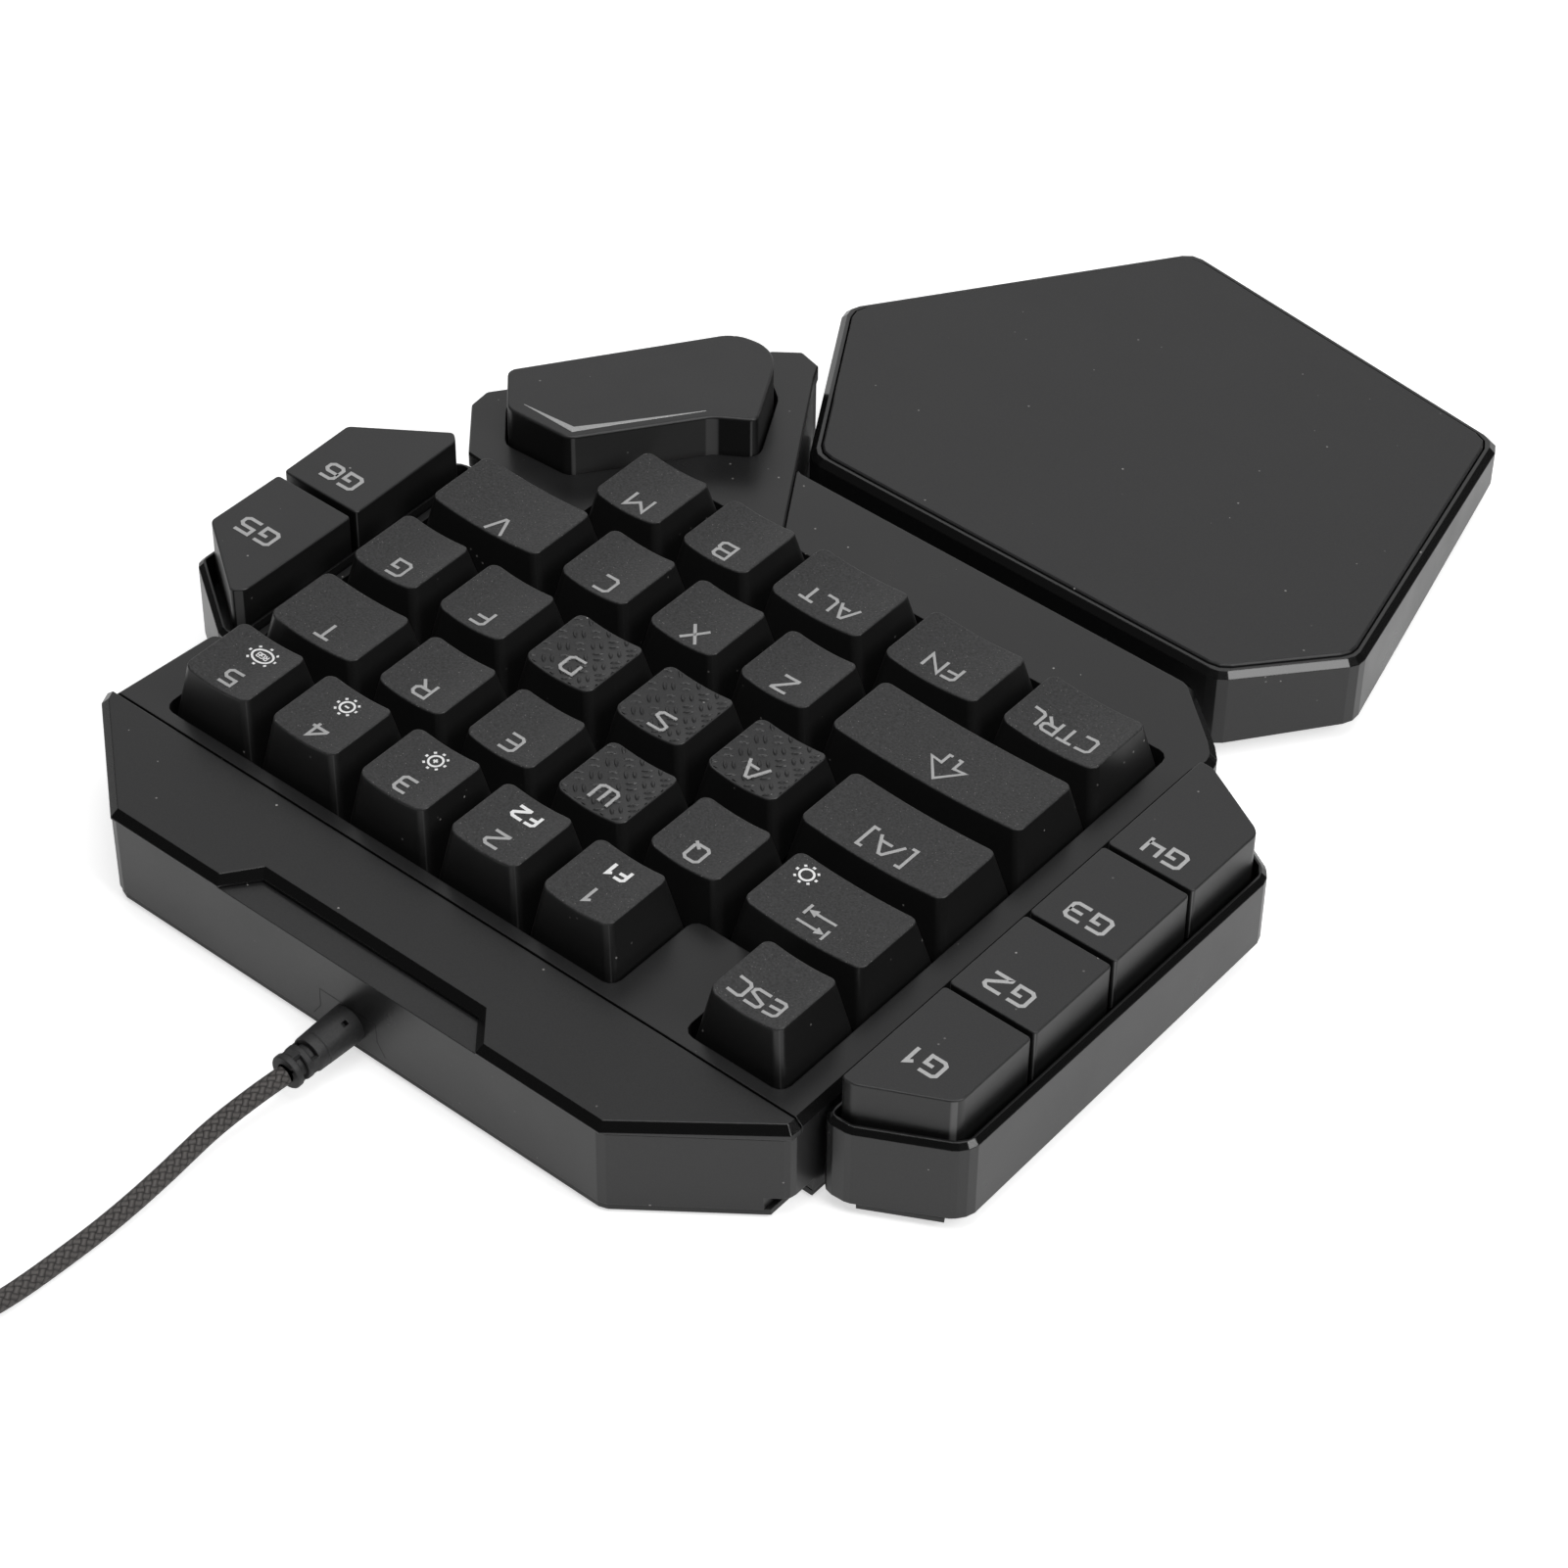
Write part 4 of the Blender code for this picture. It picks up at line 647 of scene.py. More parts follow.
def sun_sheets(middle, radius_x, radius_y):
    """A lamp's ring, and its rays as short dabs."""
    rays = []
    for i in range(RAYS):
        angle = 2 * math.pi * i / RAYS
        ray = Vector((math.cos(angle), math.sin(angle)))
        near = Vector(middle) + Vector((ray.x * radius_x, ray.y * radius_y)) + ray * RAY_GAP
        rays.append([near, near + ray * RAY_LENGTH])
    return [(drawing([ring_line(middle, radius_x, radius_y)], LAMP_STROKE), WHITE),
            (drawing(rays, FINE_STROKE), WHITE)]


def tab_sheets(middle):
    """Two arrows with solid heads that run against end stops."""
    lines, heads = [], []
    for side in (-1, 1):
        y = middle[1] - side * 1.35 * MM
        tip = middle[0] + side * 2.75 * MM
        lines.append([(middle[0] - side * 2.8 * MM, y), (tip - side * 1.3 * MM, y)])
        lines.append([(tip, y - 1.15 * MM), (tip, y + 1.15 * MM)])
        heads.append([(tip - side * 0.3 * MM, y), (tip - side * 1.8 * MM, y)])
    return [(drawing(lines, FINE_STROKE), GREY), (drawing(heads, ARROW_HEAD), GREY)]


def shift_lines(middle):
    """A hollow arrow that points away from the user, open at the end of its stem."""
    outline = [(-0.55, -2.9), (-1.2, -2.9), (-1.2, -0.75), (-3.3, -1.0), (0, 2.9), (3.3, -1.0),
               (1.2, -0.75), (1.2, -2.9), (0.55, -2.9)]
    return [[(middle[0] + a * MM, middle[1] + b * MM) for a, b in outline]]


print("legends are drawn in strokes of", round(LEGEND_STROKE / MM, 2), "mm")

# %% [markdown]
# The field has five rows, and each row has its own cap height and its own start, as the stagger of
# a keyboard asks. Each entry gives a key's name, its middle and width in pitches, and the middle of
# its word in millimetres from its own. The photograph shows each word a little off the line of its
# neighbours. A key's word is its name, apart from three.

# %% The key field
KEY_ROWS = [
    [("esc", 0.5, 1.0, (0.45, 3.4)), ("1", 2.25, 1.0, (-0.2, 3.2)), ("2", 3.25, 1.0, (0, 3.7)),
     ("3", 4.25, 1.0, (-0.1, 3.9)), ("4", 5.25, 1.0, (-0.35, 4.0)), ("5", 6.25, 1.0, (-0.45, 3.9))],
    [("tab", 0.75, 1.5, (0.3, 3.2)), ("q", 2.0, 1.0, (0.05, 3.7)), ("w", 3.0, 1.0, (0, 3.4)),
     ("e", 4.0, 1.0, (-0.05, 3.7)), ("r", 5.0, 1.0, (-0.15, 3.5)), ("t", 6.125, 1.25, (-0.4, 3.5))],
    [("caps", 0.875, 1.75, (-0.05, 2.9)), ("a", 2.25, 1.0, (0.2, 3.2)),
     ("s", 3.25, 1.0, (-0.55, 4.0)), ("d", 4.25, 1.0, (-0.05, 3.4)), ("f", 5.25, 1.0, (-0.3, 3.9)),
     ("g", 6.25, 1.0, (-0.9, 4.0))],
    [("shift", 1.125, 2.25, (-0.65, 2.6)), ("z", 2.75, 1.0, (-0.3, 3.9)),
     ("x", 3.75, 1.0, (-0.7, 4.2)), ("c", 4.75, 1.0, (-0.75, 4.2)), ("v", 6.0, 1.5, (-1.6, 4.8))],
    [("ctrl", 0.625, 1.25, (0.45, 2.7)), ("fn", 1.875, 1.25, (0.1, 3.1)),
     ("alt", 3.125, 1.25, (-0.2, 3.0)), ("b", 4.25, 1.0, (-0.05, 4.0)),
     ("m", 5.25, 1.0, (-0.55, 3.9))],
]
WORDS = {"tab": "", "caps": "[A]", "shift": ""}
MOVEMENT_KEYS = ("w", "a", "s", "d")
WORD_HEIGHTS = {"number row": 3.15 * MM, "letter": 3.55 * MM, "word": 3.25 * MM}
SECOND_MIDDLE, LAMP_MIDDLE = (-0.1 * MM, -3.05 * MM), (-0.7 * MM, -2.9 * MM)
SIGN_HEIGHT, SIGN_STROKE, SIGN_RING = 1.1 * MM, 0.34 * MM, 1.2 * MM
LAMP_HEIGHT, LAMP_LETTER_STROKE, LAMP_SLIM = 1.0 * MM, 0.19 * MM, 0.8
SECOND_HEIGHT, SECOND_STROKE = 2.4 * MM, 0.6 * MM
TAB_LAMP, TAB_RING, CAPS_WIDENING = (7.7 * MM, -3.4 * MM), 1.15 * MM, 1.14


def legend_sheets(name, row, middle):
    """Each drawing on a cap, with the slot of its ink."""
    sheets, word = [], WORDS.get(name, name.upper())
    kind = "number row" if row == 0 else "letter" if len(word) == 1 or name == "caps" else "word"
    if word:
        slim = LEGEND_WIDENING * (CAPS_WIDENING if name == "caps" else 1)
        lines = letter_lines(word, WORD_HEIGHTS[kind], middle, slim)
        sheets.append((drawing(lines, LEGEND_STROKE), GREY))
    if name == "tab":
        sheets += tab_sheets(middle) + sun_sheets(TAB_LAMP, TAB_RING, TAB_RING)
    if name == "shift":
        sheets.append((drawing(shift_lines(middle), FINE_STROKE), GREY))
    if name in ("3", "4"):
        sign = letter_lines("+" if name == "3" else "-", SIGN_HEIGHT, SECOND_MIDDLE)
        sheets += sun_sheets(SECOND_MIDDLE, SIGN_RING, SIGN_RING)
        sheets.append((drawing(sign, SIGN_STROKE), WHITE))
    if name == "5":
        lines = letter_lines("RGB", LAMP_HEIGHT, LAMP_MIDDLE, LAMP_SLIM)
        sheets += sun_sheets(LAMP_MIDDLE, 2.0 * MM, 1.4 * MM)
        sheets.append((drawing(lines, LAMP_LETTER_STROKE), WHITE))
    if name in ("1", "2"):
        lines = letter_lines("F" + name, SECOND_HEIGHT, SECOND_MIDDLE, LEGEND_WIDENING)
        sheets.append((drawing(lines, SECOND_STROKE), WHITE))
    return sheets


print("the field has", sum(len(keys) for keys in KEY_ROWS), "keys")

# %% [markdown]
# The tread on the four movement keys is a basket weave of lozenges in pairs. Half of the pairs lie
# along one diagonal of the key, and the others, which stand between them, along the other one. Each
# lozenge is a low cone with its top cut off, and the weave is trimmed to the key's top.

# %% Tread of the movement keys
TREAD_PITCH, TREAD_LENGTH, TREAD_WIDTH, TREAD_HEIGHT = 3.8 * MM, 2.2 * MM, 0.8 * MM, 0.2 * MM
TREAD_SPACING, TREAD_SUNK, TREAD_MIDDLE = 1.36 * MM, 0.05 * MM, (0.1 * MM, 0.95 * MM)
TREAD_REACH, TREAD_FOOT, TREAD_CROWN = 4, 0.5, 0.28
tread_top = plastic("key_top_tread", (0.020, 0.020, 0.0205), 0.42, 5200, 0.012 * MM,
                    edge=0.03 * MM, speckle=0.2)


def tread_sheet(half_width, front, rear):
    """Lozenges over a key's top, which reaches from front to rear."""
    sheet = bmesh.new()
    steps = range(-TREAD_REACH, TREAD_REACH + 1)
    for i, j in [(i, j) for i in steps for j in steps if (i + j) % 2 == 0]:
        for side in (-0.5, 0.5):
            bar = bmesh.ops.create_cone(sheet, cap_ends=True, segments=8, radius1=TREAD_FOOT,
                                        radius2=TREAD_CROWN,
                                        depth=TREAD_HEIGHT + TREAD_SUNK)["verts"]
            bmesh.ops.scale(sheet, vec=(TREAD_LENGTH, TREAD_WIDTH, 1), verts=bar)
            moved(sheet, bar, (0, side * TREAD_SPACING, (TREAD_HEIGHT - TREAD_SUNK) / 2))
            turned(sheet, bar, 45 if i % 2 else -45, "Z")
            moved(sheet, bar, (TREAD_MIDDLE[0] + i * TREAD_PITCH / 2,
                               TREAD_MIDDLE[1] + j * TREAD_PITCH / 2, 0))
    trims = [((half_width - CAP_RIM, 0, 0), (1, 0, 0)), ((CAP_RIM - half_width, 0, 0), (-1, 0, 0)),
             ((0, rear - CAP_RIM, 0), (0, 1, 0)), ((0, front + CAP_RIM, 0), (0, -1, 0))]
    trims += [((side * (half_width - CAP_CORNER / 2), y - way * CAP_CORNER / 2, 0), (side, way, 0))
              for side in (1, -1) for y, way in ((rear, 1), (front, -1))]
    for spot, normal in trims:
        sliced(sheet, spot, normal, clear_outer=True)
        closed(sheet)
    return sheet


print("treads are", round(TREAD_HEIGHT / MM, 2), "mm high")

# %% Caps of the field
def make_field_key(name, x_pitches, row, width, middle):
    """One cap of the field, dished, printed and put in its place."""
    height = ROW_TOPS[row] - CAP_BOTTOM
    skirt, depth = width * PITCH - CAP_GAP, PITCH - CAP_GAP
    half_width = skirt / 2 - TAPERS["side"]
    shape = cap_shell(skirt, depth, height)
    dish_cap(shape, half_width, depth / 2 - TAPERS["rear"], height)
    paint_top(shape, height - 2 * DISH_DEPTH)

    def surface(x):
        return height - dish_drop(x, half_width)

    lift = INK_LIFT
    if name in MOVEMENT_KEYS:
        sheet = tread_sheet(half_width, TAPERS["front"] - depth / 2, depth / 2 - TAPERS["rear"])
        add_to_cap(shape, sheet, surface, TOP)
        lift += TREAD_HEIGHT
    for sheet, index in legend_sheets(name, row, (middle[0] * MM, middle[1] * MM)):
        lay_drawing(shape, sheet, surface, index, half_width, lift)
    moved(shape, shape.verts, in_frame(x_pitches, -row, CAP_BOTTOM))
    top = tread_top if name in MOVEMENT_KEYS else key_top
    node, finishes = "key_" + name, [key_side, top, laser_grey, white_print]
    return finish_piece(node + "_cap", shape, finishes, node, [node])


for row, keys in enumerate(KEY_ROWS):
    for name, x_pitches, width, middle in keys:
        cap = make_field_key(name, x_pitches, row, width, middle)
    print("row", row, "has", len(keys), "caps of about", len(cap.data.polygons), "faces")

# %% [markdown]
# The macro keys and the thumb key have flat tops and upright sides, so they start from their
# outline in plan. The outline is filled, extruded upwards and bevelled twice: wide on the upright
# edges and narrow round the top.

# %% Flat-topped caps
def outline_cap(outline, height, corner, edge, wide_corner=0, wide_below=-1):
    """A hollow cap over a closed outline about its plunger, standing on z = 0. Corners of the
    outline beyond wide_below in Y are rounded by wide_corner, and the others by corner."""
    shape = bmesh.new()
    floor = shape.faces.new([shape.verts.new((x, y, 0)) for x, y in outline])
    made = bmesh.ops.extrude_face_region(shape, geom=[floor], use_keep_orig=True)["geom"]
    moved(shape, [v for v in made if isinstance(v, bmesh.types.BMVert)], (0, 0, height))
    bmesh.ops.recalc_face_normals(shape, faces=shape.faces)
    uprights = upright_edges(shape, height)
    wide = [e for e in uprights if e.verts[0].co.y < wide_below]
    for edges, radius in ((wide, wide_corner), (set(uprights) - set(wide), corner)):
        if edges:
            rounded(shape, edges, radius, 5)
    hollow_out(shape, height - CAP_ROOF)
    round_rim(shape, height, edge)
    paint_top(shape, height / 2)
    return shape


def in_pitches(shares, flip=1):
    """Outline points in metres, anticlockwise; flip=-1 mirrors them front to rear."""
    points = [(x * PITCH, y * PITCH * flip) for x, y in shares]
    area = sum(a[0] * b[1] - b[0] * a[1] for a, b in zip(points, points[1:] + points[:1]))
    return points if area > 0 else points[::-1]


LEFT_END = [(-0.431, -0.49), (0.431, -0.49), (0.431, 0.785), (0.304, 0.785), (-0.378, 0.434),
            (-0.431, 0.371)]
LEFT_MIDDLE = [(-0.431, -0.49), (0.431, -0.49), (0.431, 0.49), (-0.431, 0.49)]
RIGHT_END = [(-0.431, -0.46), (0.448, -0.46), (0.462, 0.355), (-0.315, 0.905), (-0.415, 0.82)]
MACRO_KEYS = [
    ("macro_g1", -0.866, -0.46025, LEFT_END, 1, (0.4, 4.7)),
    ("macro_g2", -0.866, -1.48675, LEFT_MIDDLE, 1, (0.4, 4.7)),
    ("macro_g3", -0.866, -2.51325, LEFT_MIDDLE, 1, (0.4, 4.7)),
    ("macro_g4", -0.866, -3.53975, LEFT_END, -1, (-0.05, 5.5)),
    ("macro_g5", 7.422, -1.555, RIGHT_END, 1, (0.9, 3.9)),
    ("macro_g6", 7.422, -2.545, RIGHT_END, -1, (0.2, 3.6)),
]
MACRO_LEGEND, MACRO_STROKE, MACRO_WIDENING, MACRO_GAP = 3.4 * MM, 0.66 * MM, 1.2, 0.38
MACRO_CORNER, MACRO_EDGE = 0.7 * MM, 0.3 * MM
print(len(MACRO_KEYS), "macro keys from", 3, "outlines")

# %% Macro keys
for name, x, y, outline, flip, (word_x, word_y) in MACRO_KEYS:
    height = MACRO_TOP - CAP_BOTTOM
    shape = outline_cap(in_pitches(outline, flip), height, MACRO_CORNER, MACRO_EDGE)
    digit = OPEN_FOUR if name == "macro_g4" else name[-1]
    lines = letter_lines("G" + digit, MACRO_LEGEND, (word_x * MM, word_y * MM), MACRO_WIDENING,
                         MACRO_GAP)
    lay_drawing(shape, drawing(lines, MACRO_STROKE), lambda x: height, GREY)
    moved(shape, shape.verts, in_frame(x, y, CAP_BOTTOM))
    finish_piece(name + "_cap", shape, [key_side, macro_top, macro_grey], name, [name])
print("a macro cap is", round((MACRO_TOP - CAP_BOTTOM) / MM, 1), "mm high")

# %% [markdown]
# The thumb key is one long cap. Its chevron is a painted stroke that is widest at its point and
# runs out to hairlines at both ends, so its ribbon takes a width for each point of its line.

# %% Thumb key
THUMB_OUTLINE = [(1.065, 0.64), (-0.135, -1.092), (-0.488, -1.152), (-0.709, -0.985),
                 (-1.103, -0.263), (-0.767, -0.043), (0.005, 1.017), (0.698, 1.054)]
THUMB_X, THUMB_Y = 6.2, -4.97
THUMB_CORNER, THUMB_WIDE_CORNER, THUMB_EDGE = 1.3 * MM, 2.6 * MM, 0.5 * MM
WIDE_BELOW = -0.9 * PITCH
CHEVRON = [(129.8, -77.2), (124.2, -77.4), (119.1, -77.6), (114.6, -83.6), (105.3, -96.0)]
CHEVRON_WIDTHS = [0.12 * MM, 0.7 * MM, 1.25 * MM, 0.7 * MM, 0.12 * MM]

height = THUMB_TOP - CAP_BOTTOM
shape = outline_cap(in_pitches(THUMB_OUTLINE), height, THUMB_CORNER, THUMB_EDGE,
                    THUMB_WIDE_CORNER, WIDE_BELOW)
line = [(x * MM - THUMB_X * PITCH, y * MM - THUMB_Y * PITCH) for x, y in CHEVRON]
lay_drawing(shape, drawing([line], CHEVRON_WIDTHS), lambda x: height, GREY)
moved(shape, shape.verts, in_frame(THUMB_X, THUMB_Y, CAP_BOTTOM))
thumb = finish_piece("thumb_key_cap", shape, [key_side, macro_top, silver_paint], "thumb_key",
                     ["thumb_key"])
print("thumb key:", len(thumb.data.polygons), "faces")

# %% [markdown]
# Under every plunger stands a rubber dome, which caves in when its key goes down. The mat's sheet
# is the CAD's own, with its domes cut off and the holes closed. Each new dome is spun from a profile
# and stands in place under its key.

# %% Dome mat
MAT_BOTTOM, MAT_TOP, DOME_TOP = 4.0 * MM, 5.0 * MM, 9.5 * MM
DOME_PROFILE = [(4.0, 4.9), (3.8, 5.7), (3.0, 8.2), (2.6, 8.9), (2.3, 9.1), (2.2, 9.5)]
domes = plastic("dome_rubber", (0.34, 0.34, 0.33), 0.62, 2400, 0.006 * MM)
sheet = bmesh.new()
sheet.from_mesh(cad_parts["dome_mat"].data)
bmesh.ops.remove_doubles(sheet, verts=sheet.verts, dist=0.001 * MM)
bmesh.ops.delete(sheet, geom=[v for v in sheet.verts if v.co.z > MAT_TOP + 0.05 * MM],
                 context="VERTS")
closed(sheet)
for face in sheet.faces:
    face.material_index = 0
finish_piece("dome_mat_sheet", sheet, [domes], "housing", ["dome_mat"])
plungers = [("key_" + key[0], key[1], -row) for row, keys in enumerate(KEY_ROWS) for key in keys]
plungers += [key[:3] for key in MACRO_KEYS] + [("thumb_key", THUMB_X, THUMB_Y)]
for node, x, y in plungers:
    shape = lathe(DOME_PROFILE, 20)
    moved(shape, shape.verts, in_frame(x, y))
    dome = finish_piece(node + "_dome", shape, [domes], None, ())
    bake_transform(dome)
print(len(plungers), "domes of", len(dome.data.polygons), "faces")

# %% [markdown]
# The cord is one length of round braided cable, 3.2 mm thick and 1.5 m long. The photograph shows
# its first 57 mm, from the boot to the picture's edge. The rest is wound into a coil beside it, as
# it would be put away. A curve through the route is turned into a mesh tube, which brings a UV map
# that runs along the cord and round it.

# %% Cord route
CORD_DIAMETER = 3.2 * MM
CORD_ROUTE = [
    (68.1, 45.5, 5.5), (68.8, 52.0, 5.1), (69.5, 60.0, 4.1), (69.3, 70.0, 3.0), (69.3, 79.0, 2.2),
    (69.7, 88.0, 1.7), (70.5, 101.0, 1.8), (72.5, 113.0, 2.5), (74.3, 120.0, 2.8),
    (75.0, 127.0, 2.8),
]
COIL_LAYERS, COIL_TURNS, COIL_POINTS = 4, 3, 24
COIL_SPACING, COIL_RADIUS, COIL_BASE, COIL_LEAD = 3.66 * MM, 18.0 * MM, 1.2 * MM, 3.4 * MM
COIL_JOIN, CURVE_CUTS = 0.3 * MM, 24
FREE_STEP, TAIL_STEP, CORD_STEP = 4 * MM, 7.2 * MM, 1.6 * MM
TAIL = [(0.2, 12.5, -0.5), (1.0, 25.0, -3.2), (2.6, 37.0, -6.6), (4.8, 48.0, -9.0),
        (7.2, 58.0, -9.8)]


def smooth_route(points, step):
    """Evenly spaced points on a smooth curve through the given ones."""
    ends = [2 * points[0] - points[1], *points, 2 * points[-1] - points[-2]]
    fine = []
    for a, b, c, d in zip(ends, ends[1:], ends[2:], ends[3:]):
        for i in range(CURVE_CUTS):
            t = i / CURVE_CUTS
            fine.append((2 * b + (c - a) * t + (2 * a - 5 * b + 4 * c - d) * t ** 2
                         + (3 * b - a - 3 * c + d) * t ** 3) / 2)
    fine.append(points[-1])
    length = sum((b - a).length for a, b in zip(fine, fine[1:]))
    count = round(length / step)
    spaced, gone = [fine[0]], 0.0
    for a, b in zip(fine, fine[1:]):
        gone += (b - a).length
        if gone >= length / count * len(spaced) and len(spaced) < count:
            spaced.append(b)
    return spaced + [fine[-1]]


def coil_route():
    """The wound length: loops that spiral out and in and climb a layer at each turn back."""
    end = FIELD_CORNER + Vector(CORD_ROUTE[-1]) * MM
    outer = COIL_RADIUS + COIL_TURNS * COIL_SPACING / 2
    centre = Vector((end.x + outer, end.y + COIL_LEAD + COIL_JOIN, COIL_BASE + CORD_DIAMETER / 2))
    inner = COIL_RADIUS - COIL_TURNS * COIL_SPACING / 2
    loops = []
    for i in range(COIL_LAYERS * COIL_TURNS * COIL_POINTS + 1):
        turns = i / COIL_POINTS
        radius = inner + COIL_SPACING * abs(turns % (2 * COIL_TURNS) - COIL_TURNS)
        turned_back = round(turns / COIL_TURNS)
        climb = min(1, max(0, (turns - turned_back * COIL_TURNS) / 0.5 + 0.5))
        layer = min(COIL_LAYERS - 1, max(0, turned_back - 1 + climb))
        angle = math.pi - turns * 2 * math.pi
        loops.append(centre + Vector((radius * math.cos(angle), radius * math.sin(angle),
                                      layer * COIL_SPACING)))
    tail = smooth_route([loops[-1]] + [loops[-1] + Vector(p) * MM for p in TAIL], TAIL_STEP)
    last = tail[-1] - tail[-2]
    last.z = 0
    return loops + tail[1:] + [tail[-1] + last.normalized() * COIL_LEAD]


free = smooth_route([FIELD_CORNER + Vector(p) * MM for p in CORD_ROUTE], FREE_STEP)
route = smooth_route(free + [free[-1] + Vector((0, COIL_JOIN, 0))] + coil_route(), CORD_STEP)
cord_length = sum((b - a).length for a, b in zip(route, route[1:]))
print("cord:", round(cord_length, 4), "m on", len(route), "points")

# %% [markdown]
# The braid is fourteen flat strands of black yarn, seven each way, which cross over and under one
# another. In the UV map both sets are straight stripes, so the pattern is stripes along the sum and
# the difference of the two coordinates, and which set is on top alternates from cell to cell.

# %% Braid
BRAID_PITCH, STRANDS, YARN_RELIEF = 1.6 * MM, 7, 0.22 * MM
yarn, tree, shader = new_material("braided_yarn")
braid_uv = place(tree, "ShaderNodeUVMap", uv_map="UVMap").outputs["UV"]
axes = place(tree, "ShaderNodeSeparateXYZ", Vector=braid_uv).outputs
along = maths(tree, "MULTIPLY", axes["X"], cord_length / BRAID_PITCH)
round_it = maths(tree, "MULTIPLY", axes["Y"], STRANDS)
stripes = [maths(tree, way, round_it, along) for way in ("ADD", "SUBTRACT")]
crowns = [maths(tree, "SINE", maths(tree, "MULTIPLY", maths(tree, "FRACT", stripe), math.pi))
          for stripe in stripes]
cells = maths(tree, "ADD", *(maths(tree, "FLOOR", stripe) for stripe in stripes))
yarn_height = mixed(tree, "FLOAT", maths(tree, "PINGPONG", cells, 1.0), *crowns)
relief = place(tree, "ShaderNodeBump", Strength=1.0, Distance=YARN_RELIEF, Height=yarn_height)
shader["Roughness"].default_value = 0.62
feed(tree, shader["Normal"], relief.outputs["Normal"])
# The yarn's colour follows the height of its strands and is darkest in the grooves between them, as
# painted shade.
feed(tree, shader["Base Color"], mixed(tree, "RGBA", maths(tree, "POWER", yarn_height, 0.7),
                                       (0.004, 0.004, 0.004, 1), (0.095, 0.087, 0.083, 1)))
print("braid:", len(tree.nodes), "nodes")

# %% Cord
line = bpy.data.curves.new("cord_line", "CURVE")
line.dimensions = "3D"
line.bevel_depth = CORD_DIAMETER / 2
line.bevel_resolution = 4
line.use_fill_caps = True
spline = line.splines.new("POLY")
spline.points.add(len(route) - 1)
spline.points.foreach_set("co", [v for point in route for v in (*point, 1)])
holder = bpy.data.objects.new("cord_line", line)
cord_mesh = bpy.data.meshes.new_from_object(holder)
bpy.data.objects.remove(holder)
cord_mesh.name = "braided_cord"
cord_mesh.materials.clear()
cord_mesh.materials.append(yarn)
cord_mesh.polygons.foreach_set("use_smooth", [True] * len(cord_mesh.polygons))
cord_piece = scene_object("braided_cord", cord_mesh)
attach(cord_piece, "housing")
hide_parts("cord_run", "cord_coil")
dress(boot_rubber, "cord_tie", "plug_body")
print("cord mesh:", len(cord_mesh.polygons), "faces")

# %% [markdown]
# The boot that keeps the cord from kinking is one rubber moulding: a barrel with a small vent hole
# on top, a collar, and two thin rings that hang on bridges, so that it can bend. Its profile is
# spun round the cord's line. Each ring's bridges stand a quarter turn from those of the next.

# %% Cable boot
INLET_X, BOOT_AXIS = 68.05 * MM, 5.8 * MM
BOOT_PROFILE = [(30.0, 3.3), (33.3, 3.28), (34.3, 3.25), (38.5, 3.12), (38.62, 3.0), (38.74, 3.1),
                (40.3, 3.05), (40.5, 2.9), (40.5, 2.05), (41.7, 2.05), (41.7, 2.75), (41.85, 2.9),
                (42.75, 2.86), (42.9, 2.7), (42.9, 1.95), (44.1, 1.95), (44.1, 2.75), (44.25, 2.95),
                (45.1, 2.95), (45.3, 2.8), (45.3, 1.62)]
BOOT_SIDES, VENT_PLACE, VENT_DEPTH = 24, Vector((-1.6, 33.8, 2.8)) * MM, 1.2 * MM
VENT_RIM, BRIDGE_OUT, BRIDGE_SIZE = 0.03 * MM, 2.35 * MM, Vector((0.9, 1.6, 2.2)) * MM
shape = lathe([(radius, along) for along, radius in BOOT_PROFILE], BOOT_SIDES)
turned(shape, shape.verts, -90, "X")
for along, turn in ((41.1, 0), (43.5, 90)):
    for side in (-1, 1):
        bar = bmesh.ops.create_cube(shape, size=1)["verts"]
        bmesh.ops.scale(shape, vec=BRIDGE_SIZE, verts=bar)
        moved(shape, bar, (side * BRIDGE_OUT, along * MM, 0))
        turned(shape, bar, turn, "Y")
turned(shape, shape.verts, 180 / BOOT_SIDES, "Y")
bmesh.ops.recalc_face_normals(shape, faces=shape.faces)
vent = min(shape.faces, key=lambda f: (f.calc_center_median() - VENT_PLACE).length)
inward = -vent.normal * VENT_DEPTH
bmesh.ops.inset_region(shape, faces=[vent], thickness=VENT_RIM)
moved(shape, bmesh.ops.extrude_discrete_faces(shape, faces=[vent])["faces"][0].verts, inward)
moved(shape, shape.verts, FIELD_CORNER + Vector((INLET_X, 0, BOOT_AXIS)))
boot = finish_piece("cable_boot_detail", shape, [boot_rubber], "housing", ["cable_boot"])
print("boot:", len(boot.data.polygons), "faces")

# %% [markdown]
# The boot is held by an insert that slides up into the rear wall. Only its seam shows: a thin line
# that runs round the boot and leans outwards at its feet. It is drawn as a dark ribbon on the wall.

# %% Seam of the cable inlet
SEAM = [(-7.6, 3.05), (-6.0, 5.6), (-5.9, 9.4), (5.9, 9.4), (6.0, 5.6), (7.6, 3.05)]
REAR_WALL, SEAM_WIDTH, SEAM_LIFT = 31.51 * MM, 0.16 * MM, 0.015 * MM
shape = drawing([[(x * MM, z * MM) for x, z in SEAM]], SEAM_WIDTH)
turned(shape, shape.verts, 90, "X")
bmesh.ops.reverse_faces(shape, faces=[f for f in shape.faces if f.normal.y < 0])
moved(shape, shape.verts, FIELD_CORNER + Vector((INLET_X, REAR_WALL + SEAM_LIFT, 0)))
seam_dark = plastic("seam_shadow", (0.003, 0.003, 0.003), 0.6, 3600, 0.001 * MM)
seam = finish_piece("cable_inlet_seam", shape, [seam_dark], "housing", ())
print("seam of", len(seam.data.polygons), "faces")

